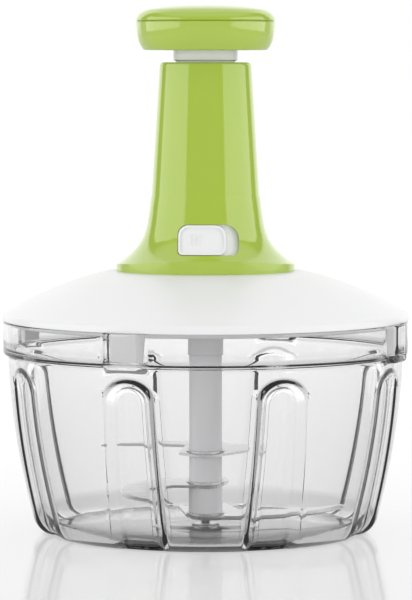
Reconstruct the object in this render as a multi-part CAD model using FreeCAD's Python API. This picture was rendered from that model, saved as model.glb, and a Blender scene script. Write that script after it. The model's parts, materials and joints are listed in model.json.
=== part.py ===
"""Hand-press food chopper: clear bowl, domed lid, handle column, push knob and a three-blade stem.

Millimetres. +Z is up, the origin is the middle of the bowl's underside, and -Y is the front,
where the lock button is. Everything is drawn with the knob pressed down and the lid on.
"""
import math
import os

import FreeCAD, Part

V = FreeCAD.Vector
UP = V(0, 0, 1)
CENTRE = V(0, 0, 0)

# ---------------------------------------------------------------- driving dimensions
# general fits
RUNNING = 0.06              # radial gap of a shaft that turns or slides in a bore
LOOSE = 0.3                 # gap between moulded pieces that slide past each other
SEATED = 0.05               # radial gap of a piece pushed home in its seat
OVERSHOOT = 1.0             # how far a cutting shape runs past the face it opens

# bowl
FOOT_R = 67.9               # flat underside
HEEL_RUN = 8.5              # how far the rounded heel reaches out from the foot
HEEL_Z = 8.0                # where the heel meets the wall
BAND_R = 89.3               # rim band
BAND_PROUD = 2.1            # step from the wall out to the band
RIM_Z = 93.8
BAND_H = 14.8
BAND_EDGE = 0.8
WALL_BULGE = 2.0            # how far the wall bows out of a straight cone
BOWL_WALL = 2.4
FLOOR_T = 2.2
SOCKET_BOSS_R = 6.0
SOCKET_BOSS_H = 1.0
SOCKET_FLOOR_T = 0.9

# bowl flutes, pressed inward
FLUTES = 8
FLUTE_FIRST = 22.5          # degrees from the front
FLUTE_DEPTH = 2.7
FLUTE_TOP_DROP = 6.0        # from the band down to the flute's top
FLUTE_TOP_W = 18.9
FLUTE_FOOT_W = 24.4
FLUTE_ARCH = 9.0            # rise of the round top

# rim pockets and the lid lugs that drop into them
POCKETS = 4
POCKET_FIRST = -22.5
POCKET_HALF = 7.1           # degrees each side of the middle
POCKET_OUT = 2.6
POCKET_DROP = 1.5           # below the band
POCKET_WALL = 1.8
POCKET_EDGE = 1.4
POCKET_CORNER = 3.0         # round lower corners, seen from outside
LUG_W = 17.0
LUG_H = 12.4

# lid
LID_OVERHANG = 0.5          # lid's edge past the rim band
LID_WALL = 2.2
LID_EDGE_Z = 1.0            # upright part of the lid's edge
LID_SHOULDER = (3.5, 4.6)   # in from the lid's edge, height over the rim
LID_DOME = (23.8, 14.4)     # in from the lid's edge, height over the rim
LID_SEAT_MARGIN = 3.1       # flat seat showing round the column's foot
LID_SEAT_H = 21.4           # flat seat of the column, over the rim
SPIGOT_H = 1.8
SPIGOT_T = 2.0
LID_HOLE_GAP = 1.5          # round the plunger tube, which it doesn't touch

# handle column
COLUMN_FLANGE_R = 39.5      # half the oval foot's width
FOOT_OVAL = 4.1             # how much less its half depth is, front and back
COLUMN_FLANGE_H = 3.0
COLUMN_WALL = 2.2
COLUMN_TOP_R = 20.4
COLUMN_H = 91.4
COLUMN_MOUTH_GAP = 1.6      # round the plunger tube
COLUMN_LIP_T = 3.6
COLUMN_EDGE = 1.2
# how far the flare's skin lies inside the flange's edge, at a height over the lid's seat
FLARE = [(15.5, 33.8), (14.0, 23.4), (11.1, 13.6), (6.7, 8.2), (0.4, 3.4)]
RING_T = 1.6                # locating ring on the lid, inside the column
RING_H = 1.8
KEY_RIB_T = 2.0
KEY_RIB_GAP = 2.6           # between the plunger tube and the column's two ribs

# body screws, up through housing and lid into the column
BODY_SCREWS = 4
BODY_SCREW_R = 1.5
BODY_SCREW_INSET = 10.0     # from the column's flange edge to the screws' circle
BODY_SCREW_HEAD_R = 2.9
BODY_SCREW_HEAD_H = 2.0
BOSS_R = 3.4
BOSS_H = 9.8
SCREW_END_ROOM = 3.0        # boss left above the screw's tip
PILOT_BITE = 0.02           # radial, so that the thread holds

# plunger and knob
STROKE = 55.0
TUBE_R = 13.0
TUBE_WALL = 1.6
COLLAR_PROUD = 1.1          # collar under the knob, past the tube
COLLAR_H = 4.1
COLLAR_SLOPE = 0.6
NECK_SHOWING = 1.1          # collar above the column's mouth
FOOT_GAP = 0.3              # over the lid when pressed down
FOOT_FLANGE_PROUD = 4.2     # past the tube
FOOT_FLANGE_T = 3.0
WEB_DROP = 12.8             # spring web under the collar's top
WEB_T = 2.5
ROD_BOSS_R = 6.0
BUSH_WALL = 2.3
BUSH_COLLAR_T = 4.0

KNOB_R = 31.0
KNOB_FOOT_IN = 4.8          # how far the flat foot lies inside KNOB_R
KNOB_FOOT_BEND = [(3.8, 0.25), (3.1, 0.9)]          # how far inside KNOB_R, at a height
KNOB_SIDE = [(1.5, 3.8), (0.5, 7.7)]
KNOB_CROWN = [(0.45, 1.5), (1.6, 3.2), (4.2, 4.9), (11.5, 6.5), (21.0, 7.24)]   # the same, over the seam
KNOB_BASE_H = 12.6
KNOB_GAP = 0.5
KNOB_CAP_H = 7.5
KNOB_WALL = 2.2
KNOB_RING_T = 2.0
KNOB_RING_H = 3.2
KNOB_SCREWS = 3
KNOB_SCREW_R = 1.4
KNOB_SCREW_CIRCLE = 8.2
KNOB_SCREW_HEAD_R = 2.6
KNOB_SCREW_HEAD_H = 1.8
KNOB_SCREW_L = 9.0
KNOB_BOSS_R = 2.8

# spiral rod, nut and spring
LEAD = 32.0                 # rise of the rod's twist in one turn, left-handed
ROD_W = 6.0
ROD_T = 2.4
ROD_LEFT_IN_NUT = 2.0       # rod below the nut when the knob is up
ROD_OVER_WEB = 9.0
ROD_PIN_R = 1.0
ROD_PIN_UP = 4.6            # over the web
NUT_SLACK = 0.15
SPRING_WIRE_R = 0.7
SPRING_R = 8.6
SPRING_TURNS = 17

# drive housing under the lid
DISC_R = 15.4               # the two ratchet discs
DISC_ROOM = 0.8             # round them
HOUSING_WALL = 3.7
HOUSING_EDGE = 1.5
HOUSING_FLOOR_T = 2.5
HOUSING_H = 23.0
HOUSING_FLANGE_MARGIN = 4.5 # past the screws' circle
HOUSING_FLANGE_T = 2.4
CAP_LEDGE = 1.6             # step in the housing's bore that the cap sits on
CAP_RIM_T = 1.9
CAP_T = 2.4
CAP_DROP = 4.35             # cap's underside below the lid
CAP_BORE_R = 4.6
CAP_SPIGOT_R = 6.9
CAP_SPIGOT_H = 5.5
WASHER_INSET = 0.4          # inside the disc's edge
WASHER_T = 0.8
SOCKET_R = 7.8
SOCKET_DROP = 12.8          # below the housing
SOCKET_DISC_T = 3.8
SOCKET_BORE_R = 4.0
TEETH = 8
TOOTH_L = 6.8
TOOTH_H = 1.6
TOOTH_W = 4.9
TOOTH_ROOT = 0.4            # how deep a tooth's foot sits in its disc
TOOTH_GAP = 0.3
NUT_T = 6.4
NUT_NECK_R = 10.0

# stem and blades
HEX_AF = 11.2
HEX_H = 13.4
HEX_SLACK = 0.1
HEX_LEAD_IN = (0.4, 3.4)    # chamfer at the hexagon's top: inside the flats, height
CORE_R = 5.0
CORE_FLATS = 8.4
CORE_BORE_R = 3.7
CORE_BORE_ROOM = 4.0        # bore left under the rod's foot
STEM_R = 7.25
STEM_LOW_R = 7.45
BLADE_T = 1.2
BLADE_Z = {"lower": 7.6, "middle": 21.4, "upper": 35.1}   # middle of each plate
BLADE_TILT = 7.2            # degrees, wings rise towards the back
HUB_MARGIN = 1.15           # flat ring of each blade round the stem
EDGE_GRIND = (0.7, 2.2)     # depth and width of the ground cutting edge
END_CAP_T = 1.8
END_CAP_EDGE = 0.8
PIN_R = 2.25
PIN_TIP_R = 1.75
PIN_TIP_EDGE = 0.5
PIN_IN_STEM = 10.0

# blade outlines, seen from above: pairs are corners, and two pairs in a list are an arc
# through the first to the second
UPPER_BLADE = [
    (-42.5, 12.6), [(-27.0, 17.6), (-7.0, 17.9)], [(6.0, 16.6), (15.0, 12.4)], (23.7, 3.2),
    (7.6, -6.6), [(0.0, -9.4), (-8.0, -6.4)], (-11.8, -4.2), (-9.0, 9.6),
    [(-25.0, 11.6), (-42.0, 12.0)]]
MIDDLE_BLADE = [
    (10.2, 1.0), [(6.0, 8.6), (-3.0, 9.0)], (-10.0, 6.2), [(-33.5, -2.2), (-39.0, -14.4)],
    [(-33.4, -27.4), (-14.0, -36.2)], [(-20.2, -27.0), (-19.6, -16.4)],
    [(-18.0, -10.4), (-13.4, -7.8)], (-4.0, -8.4), [(3.0, -8.6), (8.4, -3.6)]]
LOWER_BLADE = [
    (-12.4, 12.0), (-6.0, 9.0), [(1.0, 9.4), (7.0, 17.8)], (14.8, 4.8), [(38.0, 5.4), (59.6, 12.2)],
    [(61.8, 12.0), (61.4, 9.4)], [(41.6, -3.6), (7.6, -9.2)], [(-1.0, -9.8), (-8.8, -3.0)]]

# lock
LOCK_TURN = 9.0             # degrees that the button travels round the column
WINDOW_LEFT, WINDOW_RIGHT = -12.1, 14.5
WINDOW_LOW, WINDOW_HIGH = 8.3, 21.3      # over the lid's seat
WINDOW_CORNERS = (1.6, 3.0, 6.4, 4.6)    # low left, low right, high right, high left
WINDOW_NEAR_R = 18.0        # where cuts through the column's front skin stop
BUTTON_W = 20.7
BUTTON_CORNERS = (1.6, 3.2, 5.0, 4.6)
BUTTON_CORNER_LEAST = 0.4
BUTTON_FIT = 0.25
BUTTON_SUNK = 0.3
BUTTON_T = 1.5
BUTTON_RIM = 1.0
BUTTON_RIM_H = 0.7
PLATE_T = 1.5
PLATE_BORDER = 2.4
LOCK_AZIMUTH = -3.0         # degrees from the front, where the latch stands at rest
PEG_W, PEG_H = 2.4, 3.0
PEG_Z = 10.0                # over the lid's seat
PEG_INSET = 18.0            # inner end, in from the column's flange edge
PEG_L = 5.0
LATCH_W = 2.2
LATCH_GAP = 1.0             # between tongue and plunger tube
LATCH_T = 3.0
LATCH_OVER_FLANGE = 0.5
LATCH_BLOCK_W = 5.4
LATCH_BLOCK_T = 2.6
NOTCH_SLACK = 0.4
LATCH_OVER_PEG = 1.2
LOCK_SCREW_R = 0.6
LOCK_SCREW_BITE = 3.0       # thread in the peg
LOCK_SCREW_HEAD_R = 1.3
LOCK_SCREW_HEAD_H = 0.9
LOCK_SCREW_SLOT = 0.4
GRIP_RIBS = 3
GRIP_RIB = (0.8, 4.6)       # width, height
GRIP_RIB_PITCH = 1.9
GRIP_RIB_IN = 5.0           # first rib, from the window's left edge
GRIP_RIB_DROP = 8.6         # ribs' feet below the window's top
GRIP_RIB_PROUD = 0.05

# ---------------------------------------------------------------- derived levels and radii
HEEL_R = FOOT_R + HEEL_RUN
BAND_FOOT_R = BAND_R - BAND_PROUD
BAND_FOOT_Z = RIM_Z - BAND_H
FLUTE_TOP_Z = BAND_FOOT_Z - FLUTE_TOP_DROP
LID_R = BAND_R + LID_OVERHANG
LID_SEAT_R = COLUMN_FLANGE_R + LID_SEAT_MARGIN
COLUMN_MOUTH_R = TUBE_R + COLUMN_MOUTH_GAP
BODY_SCREW_CIRCLE = COLUMN_FLANGE_R - BODY_SCREW_INSET
KEY_RIB_R = TUBE_R + KEY_RIB_GAP
COLLAR_R = TUBE_R + COLLAR_PROUD
FOOT_FLANGE_R = TUBE_R + FOOT_FLANGE_PROUD
LID_HOLE_R = TUBE_R + LID_HOLE_GAP
KNOB_FOOT_R = KNOB_R - KNOB_FOOT_IN
HOUSING_BORE_R = DISC_R + DISC_ROOM
HOUSING_R = HOUSING_BORE_R + HOUSING_WALL
HOUSING_FLANGE_R = BODY_SCREW_CIRCLE + HOUSING_FLANGE_MARGIN
CAP_R = HOUSING_BORE_R + CAP_LEDGE
TOOTH_IN_R = DISC_R - TOOTH_W
HUB_R = STEM_LOW_R + HUB_MARGIN
PEG_IN_R = COLUMN_FLANGE_R - PEG_INSET
LATCH_IN_R = TUBE_R + LATCH_GAP
SEAT_Z = RIM_Z + LID_SEAT_H
LID_UNDER_Z = SEAT_Z - LID_WALL
SPIGOT_R = BAND_FOOT_R - LOOSE
COLUMN_TOP_Z = SEAT_Z + COLUMN_H
FOOT_Z = SEAT_Z + FOOT_GAP
FLANGE_TOP_Z = FOOT_Z + FOOT_FLANGE_T
COLLAR_Z = COLUMN_TOP_Z + NECK_SHOWING
KNOB_Z = COLLAR_Z + COLLAR_H
WEB_Z = KNOB_Z - WEB_DROP
BUSH_Z = FLANGE_TOP_Z + STROKE + LOOSE
BUSH_TOP_Z = COLUMN_TOP_Z - COLUMN_LIP_T
HOUSING_Z = LID_UNDER_Z - HOUSING_H
SOCKET_FOOT_Z = HOUSING_Z - SOCKET_DROP
WASHER_Z = HOUSING_Z + HOUSING_FLOOR_T
DISC_Z = WASHER_Z + WASHER_T
TOOTH_Z = DISC_Z + SOCKET_DISC_T
NUT_Z = TOOTH_Z + TOOTH_H + TOOTH_GAP
ROD_FOOT_Z = NUT_Z - STROKE - ROD_LEFT_IN_NUT
CORE_BORE_Z = ROD_FOOT_Z - CORE_BORE_ROOM
CAP_Z = LID_UNDER_Z - CAP_DROP
CAP_TOP_Z = CAP_Z + CAP_T
ROD_TOP_Z = WEB_Z + WEB_T + ROD_OVER_WEB
ROD_PIN_Z = WEB_Z + WEB_T + ROD_PIN_UP
STEM_TOP_Z = SOCKET_FOOT_Z - LOOSE
END_CAP_Z = BLADE_Z["lower"] - BLADE_T / 2 - END_CAP_T
LATCH_Z = FLANGE_TOP_Z + LATCH_OVER_FLANGE


# ---------------------------------------------------------------- drawing helpers
def at(radius, z):
    return V(radius, 0, z)


def outline(*steps):
    """Closed outline in (radius, height). A pair is a straight run, a list of two pairs an arc
    through the first to the second, and a longer list a smooth curve through all of them."""
    edges, here = [], at(*steps[0])
    for step in steps[1:] + steps[:1]:
        if isinstance(step, tuple):
            there = at(*step)
            if (there - here).Length > 1e-6:
                edges.append(Part.LineSegment(here, there).toShape())
        else:
            points = [at(*p) for p in step]
            there = points[-1]
            if len(points) == 2:
                edges.append(Part.Arc(here, *points).toShape())
            else:
                spline = Part.BSplineCurve()
                spline.interpolate([here] + points)
                edges.append(spline.toShape())
        here = there
    return Part.Face(Part.Wire(edges))


def turned(*steps):
    """Solid that an outline sweeps in one turn about the axis."""
    return outline(*steps).revolve(CENTRE, UP, 360)


def disc(radius, z, height):
    return Part.makeCylinder(radius, height, V(0, 0, z))


def ring(outer, inner, z, height):
    bore = disc(inner, z - OVERSHOOT, height + 2 * OVERSHOOT)
    return disc(outer, z, height).cut(bore)


def at_azimuth(shape, degrees):
    """Turn a shape that faces the front (-Y) round to an azimuth counted towards +X."""
    moved = shape.copy()
    moved.rotate(CENTRE, UP, degrees)
    return moved


def round_and_round(shape, count, first=0.0):
    """The shape, repeated evenly about the axis."""
    return [at_azimuth(shape, first + 360.0 * n / count) for n in range(count)]


def block(width, near_r, far_r, z, height):
    """Upright block across the front, between two distances from the axis."""
    return Part.makeBox(width, far_r - near_r, height, V(-width / 2, -far_r, z))


def post(radius, circle, z, height):
    """Upright round post at the front, its middle on a circle about the axis."""
    return Part.makeCylinder(radius, height, V(0, -circle, z))


def twisted_bar(width, thick, z_low, z_high):
    """Flat bar twisted left-handed about the axis; at the rod pin its width lies along Y."""
    spine = Part.Wire([Part.LineSegment(V(0, 0, z_low), V(0, 0, z_high)).toShape()])
    guide = Part.makeHelix(LEAD, z_high - z_low, 2 * width, 0, True)
    guide.translate(V(0, 0, z_low))
    w, t = width / 2, thick / 2
    corners = [V(-w, -t, z_low), V(w, -t, z_low), V(w, t, z_low), V(-w, t, z_low)]
    sweep = Part.BRepOffsetAPI.MakePipeShell(spine)
    sweep.setAuxiliarySpine(guide, True, 0)
    sweep.add(Part.makePolygon(corners + corners[:1]))
    sweep.build()
    sweep.makeSolid()
    bar = sweep.shape()
    # the sweep turns its first section to meet the guide, so its true heading is measured
    slice_z = z_low + 0.01
    edges = bar.slice(UP, slice_z)[0].Edges
    long_edge = max(edges, key=lambda e: e.Length)
    run = long_edge.Vertexes[1].Point - long_edge.Vertexes[0].Point
    heading = math.degrees(math.atan2(run.y, run.x))
    wanted = 90 + 360 * (ROD_PIN_Z - slice_z) / LEAD
    bar.rotate(CENTRE, UP, wanted - heading)
    return bar


def hexagon(across_flats, z, height):
    corner = across_flats / math.sqrt(3)
    points = [V(corner * math.cos(math.radians(60 * n)), corner * math.sin(math.radians(60 * n)), z)
              for n in range(7)]
    return Part.Face(Part.makePolygon(points)).extrude(V(0, 0, height))


def rounded_panel(left, right, low, high, corners, near_r, far_r):
    """Panel across the front: a rectangle in X and Z with its own corner radii."""
    low_left, low_right, high_right, high_left = corners
    k = 1 - math.sqrt(0.5)

    def p(x, z):
        return V(x, -far_r, z)

    runs = [
        (p(left + low_left, low), p(right - low_right, low)),
        (p(right, low + low_right), p(right, high - high_right)),
        (p(right - high_right, high), p(left + high_left, high)),
        (p(left, high - high_left), p(left, low + low_left)),
    ]
    bends = [
        p(right - k * low_right, low + k * low_right),
        p(right - k * high_right, high - k * high_right),
        p(left + k * high_left, high - k * high_left),
        p(left + k * low_left, low + k * low_left),
    ]
    edges = []
    for n, (start, end) in enumerate(runs):
        edges.append(Part.LineSegment(start, end).toShape())
        edges.append(Part.Arc(end, bends[n], runs[(n + 1) % 4][0]).toShape())
    return Part.Face(Part.Wire(edges)).extrude(V(0, far_r - near_r, 0))


def fuse(first, *others):
    return first.multiFuse(list(others)).removeSplitter()


def cut(shape, *tools):
    return shape.cut(list(tools))


# ---------------------------------------------------------------- bowl
def bowl_body(inset, floor_z, top_z):
    """The bowl's round form, drawn in by a wall thickness. Its heel leaves the floor flat."""
    foot, heel = FOOT_R - inset, HEEL_R - inset
    heel_z = HEEL_Z + inset / 2
    top_r = BAND_FOOT_R - inset
    middle = ((heel + top_r) / 2 + WALL_BULGE, (heel_z + BAND_FOOT_Z) / 2)
    rise = heel_z - floor_z
    round_r = (HEEL_RUN ** 2 + rise ** 2) / (2 * rise)
    half_turn = math.atan2(HEEL_RUN, round_r - rise) / 2
    bend = (foot + round_r * math.sin(half_turn), floor_z + round_r * (1 - math.cos(half_turn)))
    return turned((0, floor_z), (foot, floor_z), [bend, (heel, heel_z)],
                  [middle, (top_r, BAND_FOOT_Z)], (top_r, top_z), (0, top_z))


def flute_cutter(grow):
    """Arched panel that marks out one flute, grown by a margin on its sides and top."""
    foot_w, top_w = FLUTE_FOOT_W / 2 + grow, FLUTE_TOP_W / 2 + grow
    shoulder = FLUTE_TOP_Z - FLUTE_ARCH + grow
    far, low = BAND_R + POCKET_OUT + OVERSHOOT, -OVERSHOOT
    foot_left, foot_right = V(-foot_w, -far, low), V(foot_w, -far, low)
    left, right = V(-top_w, -far, shoulder), V(top_w, -far, shoulder)
    edges = [
        Part.LineSegment(foot_left, foot_right).toShape(),
        Part.LineSegment(foot_right, right).toShape(),
        Part.Arc(right, V(0, -far, FLUTE_TOP_Z + grow), left).toShape(),
        Part.LineSegment(left, foot_left).toShape(),
    ]
    depth = far - FOOT_R + HEEL_Z
    return Part.Face(Part.Wire(edges)).extrude(V(0, depth, 0))


def pocket_sector(inner, outer, half_degrees, z, height):
    sector = Part.makeCylinder(outer, height, V(0, 0, z), UP, 2 * half_degrees)
    sector.rotate(CENTRE, UP, -90 - half_degrees)
    return sector.cut(disc(inner, z - OVERSHOOT, height + 2 * OVERSHOOT))


def make_bowl():
    outside = bowl_body(0, 0, BAND_FOOT_Z + OVERSHOOT)
    pressed = bowl_body(FLUTE_DEPTH, 0, BAND_FOOT_Z + OVERSHOOT)
    outside_cutters = round_and_round(flute_cutter(0), FLUTES, FLUTE_FIRST)
    shell = cut(outside, *[c.cut(pressed) for c in outside_cutters])

    ledge_z = BAND_FOOT_Z + BOWL_WALL
    hollow = bowl_body(BOWL_WALL, FLOOR_T, ledge_z + OVERSHOOT)
    pressed_hollow = bowl_body(BOWL_WALL + FLUTE_DEPTH, FLOOR_T, ledge_z + OVERSHOOT)
    inside_cutters = round_and_round(flute_cutter(BOWL_WALL), FLUTES, FLUTE_FIRST)
    hollow = cut(hollow, *[c.cut(pressed_hollow) for c in inside_cutters])

    band = disc(BAND_R, BAND_FOOT_Z, BAND_H)
    band = band.makeFillet(BAND_EDGE, [e for e in band.Edges if e.BoundBox.ZMax < RIM_Z - BAND_EDGE])
    pocket_z = BAND_FOOT_Z - POCKET_DROP
    pocket = pocket_sector(BAND_FOOT_R - BOWL_WALL, BAND_R + POCKET_OUT, POCKET_HALF,
                           pocket_z, RIM_Z - pocket_z)
    low_sides = [e for e in pocket.Edges
                 if e.BoundBox.ZMax < pocket_z + POCKET_EDGE and not e.Curve.TypeId.endswith("Circle")]
    pocket = pocket.makeFillet(POCKET_CORNER, low_sides)
    corner_y = -(BAND_R + POCKET_OUT) * math.cos(math.radians(POCKET_HALF))
    outer_edges = [e for e in pocket.Edges
                   if e.BoundBox.YMin < corner_y + POCKET_OUT / 4 and e.BoundBox.ZMin < RIM_Z - POCKET_EDGE]
    pocket = pocket.makeFillet(POCKET_EDGE, outer_edges)
    half = POCKET_HALF - math.degrees(POCKET_WALL / BAND_R)
    pocket_room = pocket_sector(BAND_FOOT_R - OVERSHOOT, BAND_R + POCKET_OUT - POCKET_WALL, half,
                                pocket_z + POCKET_WALL + POCKET_DROP, RIM_Z)
    mouth = disc(BAND_FOOT_R, ledge_z, RIM_Z)

    boss = disc(SOCKET_BOSS_R, FLOOR_T - OVERSHOOT, SOCKET_BOSS_H + OVERSHOOT)
    pin_hole = disc(PIN_TIP_R + RUNNING, SOCKET_FLOOR_T, FLOOR_T + SOCKET_BOSS_H)
    walls = fuse(shell, band, *round_and_round(pocket, POCKETS, POCKET_FIRST))
    walls = cut(walls, hollow, mouth, *round_and_round(pocket_room, POCKETS, POCKET_FIRST))
    return cut(fuse(walls, boss), pin_hole)


# ---------------------------------------------------------------- lid and column
def body_screw_holes(z, height, radius):
    hole = post(radius, BODY_SCREW_CIRCLE, z, height)
    return round_and_round(hole, BODY_SCREWS, 45)


def make_lid():
    shoulder = (LID_R - LID_SHOULDER[0], RIM_Z + LID_SHOULDER[1])
    crown = (LID_R - LID_DOME[0], RIM_Z + LID_DOME[1])
    edge_z = RIM_Z + LID_EDGE_Z
    edge_bend = (LID_R - 0.25 * (LID_R - shoulder[0]), edge_z + 0.62 * (shoulder[1] - edge_z))
    inner = SPIGOT_R - SPIGOT_T
    under_shoulder = (inner, shoulder[1] - 0.8 * LID_WALL)
    under_crown = (crown[0] - 0.4 * LID_WALL, crown[1] - LID_WALL)
    shell = turned(
        (LID_R, RIM_Z), (LID_R, edge_z), [edge_bend, shoulder],
        [crown, (LID_SEAT_R, SEAT_Z)], (LID_HOLE_R, SEAT_Z), (LID_HOLE_R, LID_UNDER_Z),
        (LID_SEAT_R - LID_WALL / 2, LID_UNDER_Z), [under_crown, under_shoulder],
        (inner, RIM_Z - SPIGOT_H), (SPIGOT_R, RIM_Z - SPIGOT_H), (SPIGOT_R, RIM_Z))
    lug_far = BAND_R + POCKET_OUT - POCKET_WALL - LOOSE
    lug = block(LUG_W, SPIGOT_R - SPIGOT_T / 2, lug_far + OVERSHOOT, RIM_Z - LUG_H, LUG_H + LID_EDGE_Z / 2)
    lug = lug.common(disc(lug_far, RIM_Z - LUG_H, LUG_H).fuse(disc(LID_R - LOOSE, RIM_Z, LID_EDGE_Z)))
    bore_inset = COLUMN_FLANGE_R - column_foot_bore(RING_H) + LOOSE
    ring_z, ring_h = SEAT_Z - OVERSHOOT / 2, RING_H + OVERSHOOT / 2
    ring_bore = foot_oval(bore_inset + RING_T, ring_z - OVERSHOOT, ring_h + 2 * OVERSHOOT)
    locating_ring = foot_oval(bore_inset, ring_z, ring_h).cut(ring_bore)
    lid = fuse(shell, locating_ring, *round_and_round(lug, POCKETS, POCKET_FIRST))
    screw_holes = body_screw_holes(LID_UNDER_Z - OVERSHOOT, LID_WALL + 2 * OVERSHOOT,
                                   BODY_SCREW_R + LOOSE)
    return cut(lid, *screw_holes)


def column_profile(inset):
    """Points (radius, z) down the column's outside, drawn in by a distance square to it."""
    top_z = COLUMN_H - COLUMN_EDGE
    points = [(COLUMN_TOP_R, top_z)] + [(COLUMN_FLANGE_R - inside, z) for inside, z in FLARE]
    moved = []
    for n, (r, z) in enumerate(points):
        before, after = points[max(n - 1, 0)], points[min(n + 1, len(points) - 1)]
        run_r, run_z = after[0] - before[0], after[1] - before[1]
        length = math.hypot(run_r, run_z)
        moved.append((r + inset * run_z / length, SEAT_Z + z - inset * run_r / length))
    return moved


def foot_oval(inset, z, height):
    """Upright oval block with the column's foot outline, drawn in by a wall thickness."""
    half_w, half_d = COLUMN_FLANGE_R - inset, COLUMN_FLANGE_R - FOOT_OVAL - inset
    edge = Part.Ellipse(V(0, 0, z), half_w, half_d).toShape()
    return Part.Face(Part.Wire([edge])).extrude(V(0, 0, height))


def column_foot_bore(height):
    """Radius of the column's hollow a little above the lid's seat."""
    (r_high, z_high), (r_low, z_low) = column_profile(COLUMN_WALL)[-2:]
    sloped = r_low + (r_high - r_low) * (SEAT_Z + height - z_low) / (z_high - z_low)
    return min(COLUMN_FLANGE_R - COLUMN_WALL, sloped)


def column_bore(z):
    """Radius of the column's straight upper hollow."""
    (r_top, z_top), (r_low, z_low) = column_profile(COLUMN_WALL)[:2]
    return r_top + (r_low - r_top) * (z_top - z) / (z_top - z_low)


def column_skin(outside, inside):
    """The part of the flare between two depths under the column's surface, as a full ring."""
    outer, inner = column_profile(outside), column_profile(inside)
    return turned(outer[1], outer[2:], inner[-1], inner[-2:0:-1])


def window_panel(grow, near_r):
    corners = [c + grow for c in WINDOW_CORNERS]
    return rounded_panel(WINDOW_LEFT - grow, WINDOW_RIGHT + grow, SEAT_Z + WINDOW_LOW - grow,
                         SEAT_Z + WINDOW_HIGH + grow, corners, near_r, COLUMN_FLANGE_R + OVERSHOOT)


def make_column():
    outer, inner = column_profile(0), column_profile(COLUMN_WALL)
    top_edge_r = COLUMN_TOP_R - COLUMN_EDGE
    k = 1 - math.sqrt(0.5)
    edge_bend = (COLUMN_TOP_R - k * COLUMN_EDGE, COLUMN_TOP_Z - k * COLUMN_EDGE)
    foot_inner = COLUMN_FLANGE_R - COLUMN_WALL
    outside = turned(
        (0, SEAT_Z), (COLUMN_FLANGE_R, SEAT_Z), (COLUMN_FLANGE_R, SEAT_Z + COLUMN_FLANGE_H), outer[-1],
        outer[-2:0:-1], outer[0], [edge_bend, (top_edge_r, COLUMN_TOP_Z)], (0, COLUMN_TOP_Z))
    outside = outside.common(foot_oval(0, SEAT_Z, COLUMN_H))
    hollow = turned((0, SEAT_Z), (foot_inner, SEAT_Z), inner[-1], inner[-2:0:-1],
                    (column_bore(BUSH_TOP_Z), BUSH_TOP_Z), (0, BUSH_TOP_Z))
    hollow = hollow.common(foot_oval(COLUMN_WALL, SEAT_Z, COLUMN_H))
    mouth = disc(COLUMN_MOUTH_R, BUSH_TOP_Z - OVERSHOOT, COLUMN_LIP_T + 2 * OVERSHOOT)
    rib_z = SEAT_Z + RING_H + LOOSE
    rib = block(KEY_RIB_T, KEY_RIB_R, COLUMN_FLANGE_R, rib_z, BUSH_TOP_Z - rib_z).common(hollow)
    boss = post(BOSS_R, BODY_SCREW_CIRCLE, SEAT_Z, BOSS_H)
    bosses = [b.common(outside) for b in round_and_round(boss, BODY_SCREWS, 45)]
    column = fuse(cut(outside, hollow, mouth), *round_and_round(rib, 2, 90), *bosses)
    pilot = body_screw_holes(SEAT_Z - OVERSHOOT, BOSS_H, BODY_SCREW_R + PILOT_BITE)
    return cut(column, window_panel(0, WINDOW_NEAR_R), *pilot)


def make_guide_bush():
    tube_r = TUBE_R + RUNNING
    low_collar = ring(column_bore(BUSH_Z + BUSH_COLLAR_T) - SEATED, tube_r, BUSH_Z, BUSH_COLLAR_T)
    high_z = BUSH_TOP_Z - BUSH_COLLAR_T
    high_collar = ring(column_bore(BUSH_TOP_Z) - SEATED, tube_r, high_z, BUSH_COLLAR_T)
    sleeve = ring(tube_r + BUSH_WALL, tube_r, BUSH_Z, BUSH_TOP_Z - BUSH_Z)
    key_slot = block(KEY_RIB_T + 2 * SEATED, KEY_RIB_R - SEATED, COLUMN_FLANGE_R,
                     BUSH_Z - OVERSHOOT, BUSH_TOP_Z - BUSH_Z + 2 * OVERSHOOT)
    return cut(fuse(sleeve, low_collar, high_collar), *round_and_round(key_slot, 2, 90))


def screw(shank_r, length, head_r, head_h, centre, z_head_top, upward):
    """Round-headed screw on a line parallel to the axis; upward means its head is at the bottom."""
    way = 1 if upward else -1
    head = Part.makeCylinder(head_r, head_h, V(*centre, z_head_top), V(0, 0, -way))
    shank = Part.makeCylinder(shank_r, length, V(*centre, z_head_top - way * head_h / 2), V(0, 0, way))
    recess_z = z_head_top - way * head_h
    recess = [Part.makeBox(1.9 * shank_r * a, 1.9 * shank_r * b, head_h,
                           V(centre[0] - 0.95 * shank_r * a, centre[1] - 0.95 * shank_r * b,
                             recess_z - head_h / 2))
              for a, b in ((1, 0.25), (0.25, 1))]
    return cut(fuse(head, shank), *recess)


def make_body_screws():
    flange_z = LID_UNDER_Z - HOUSING_FLANGE_T
    length = SEAT_Z + BOSS_H - SCREW_END_ROOM - flange_z
    one = screw(BODY_SCREW_R, length, BODY_SCREW_HEAD_R, BODY_SCREW_HEAD_H,
                (0, -BODY_SCREW_CIRCLE), flange_z, True)
    return Part.makeCompound(round_and_round(one, BODY_SCREWS, 45))


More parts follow.
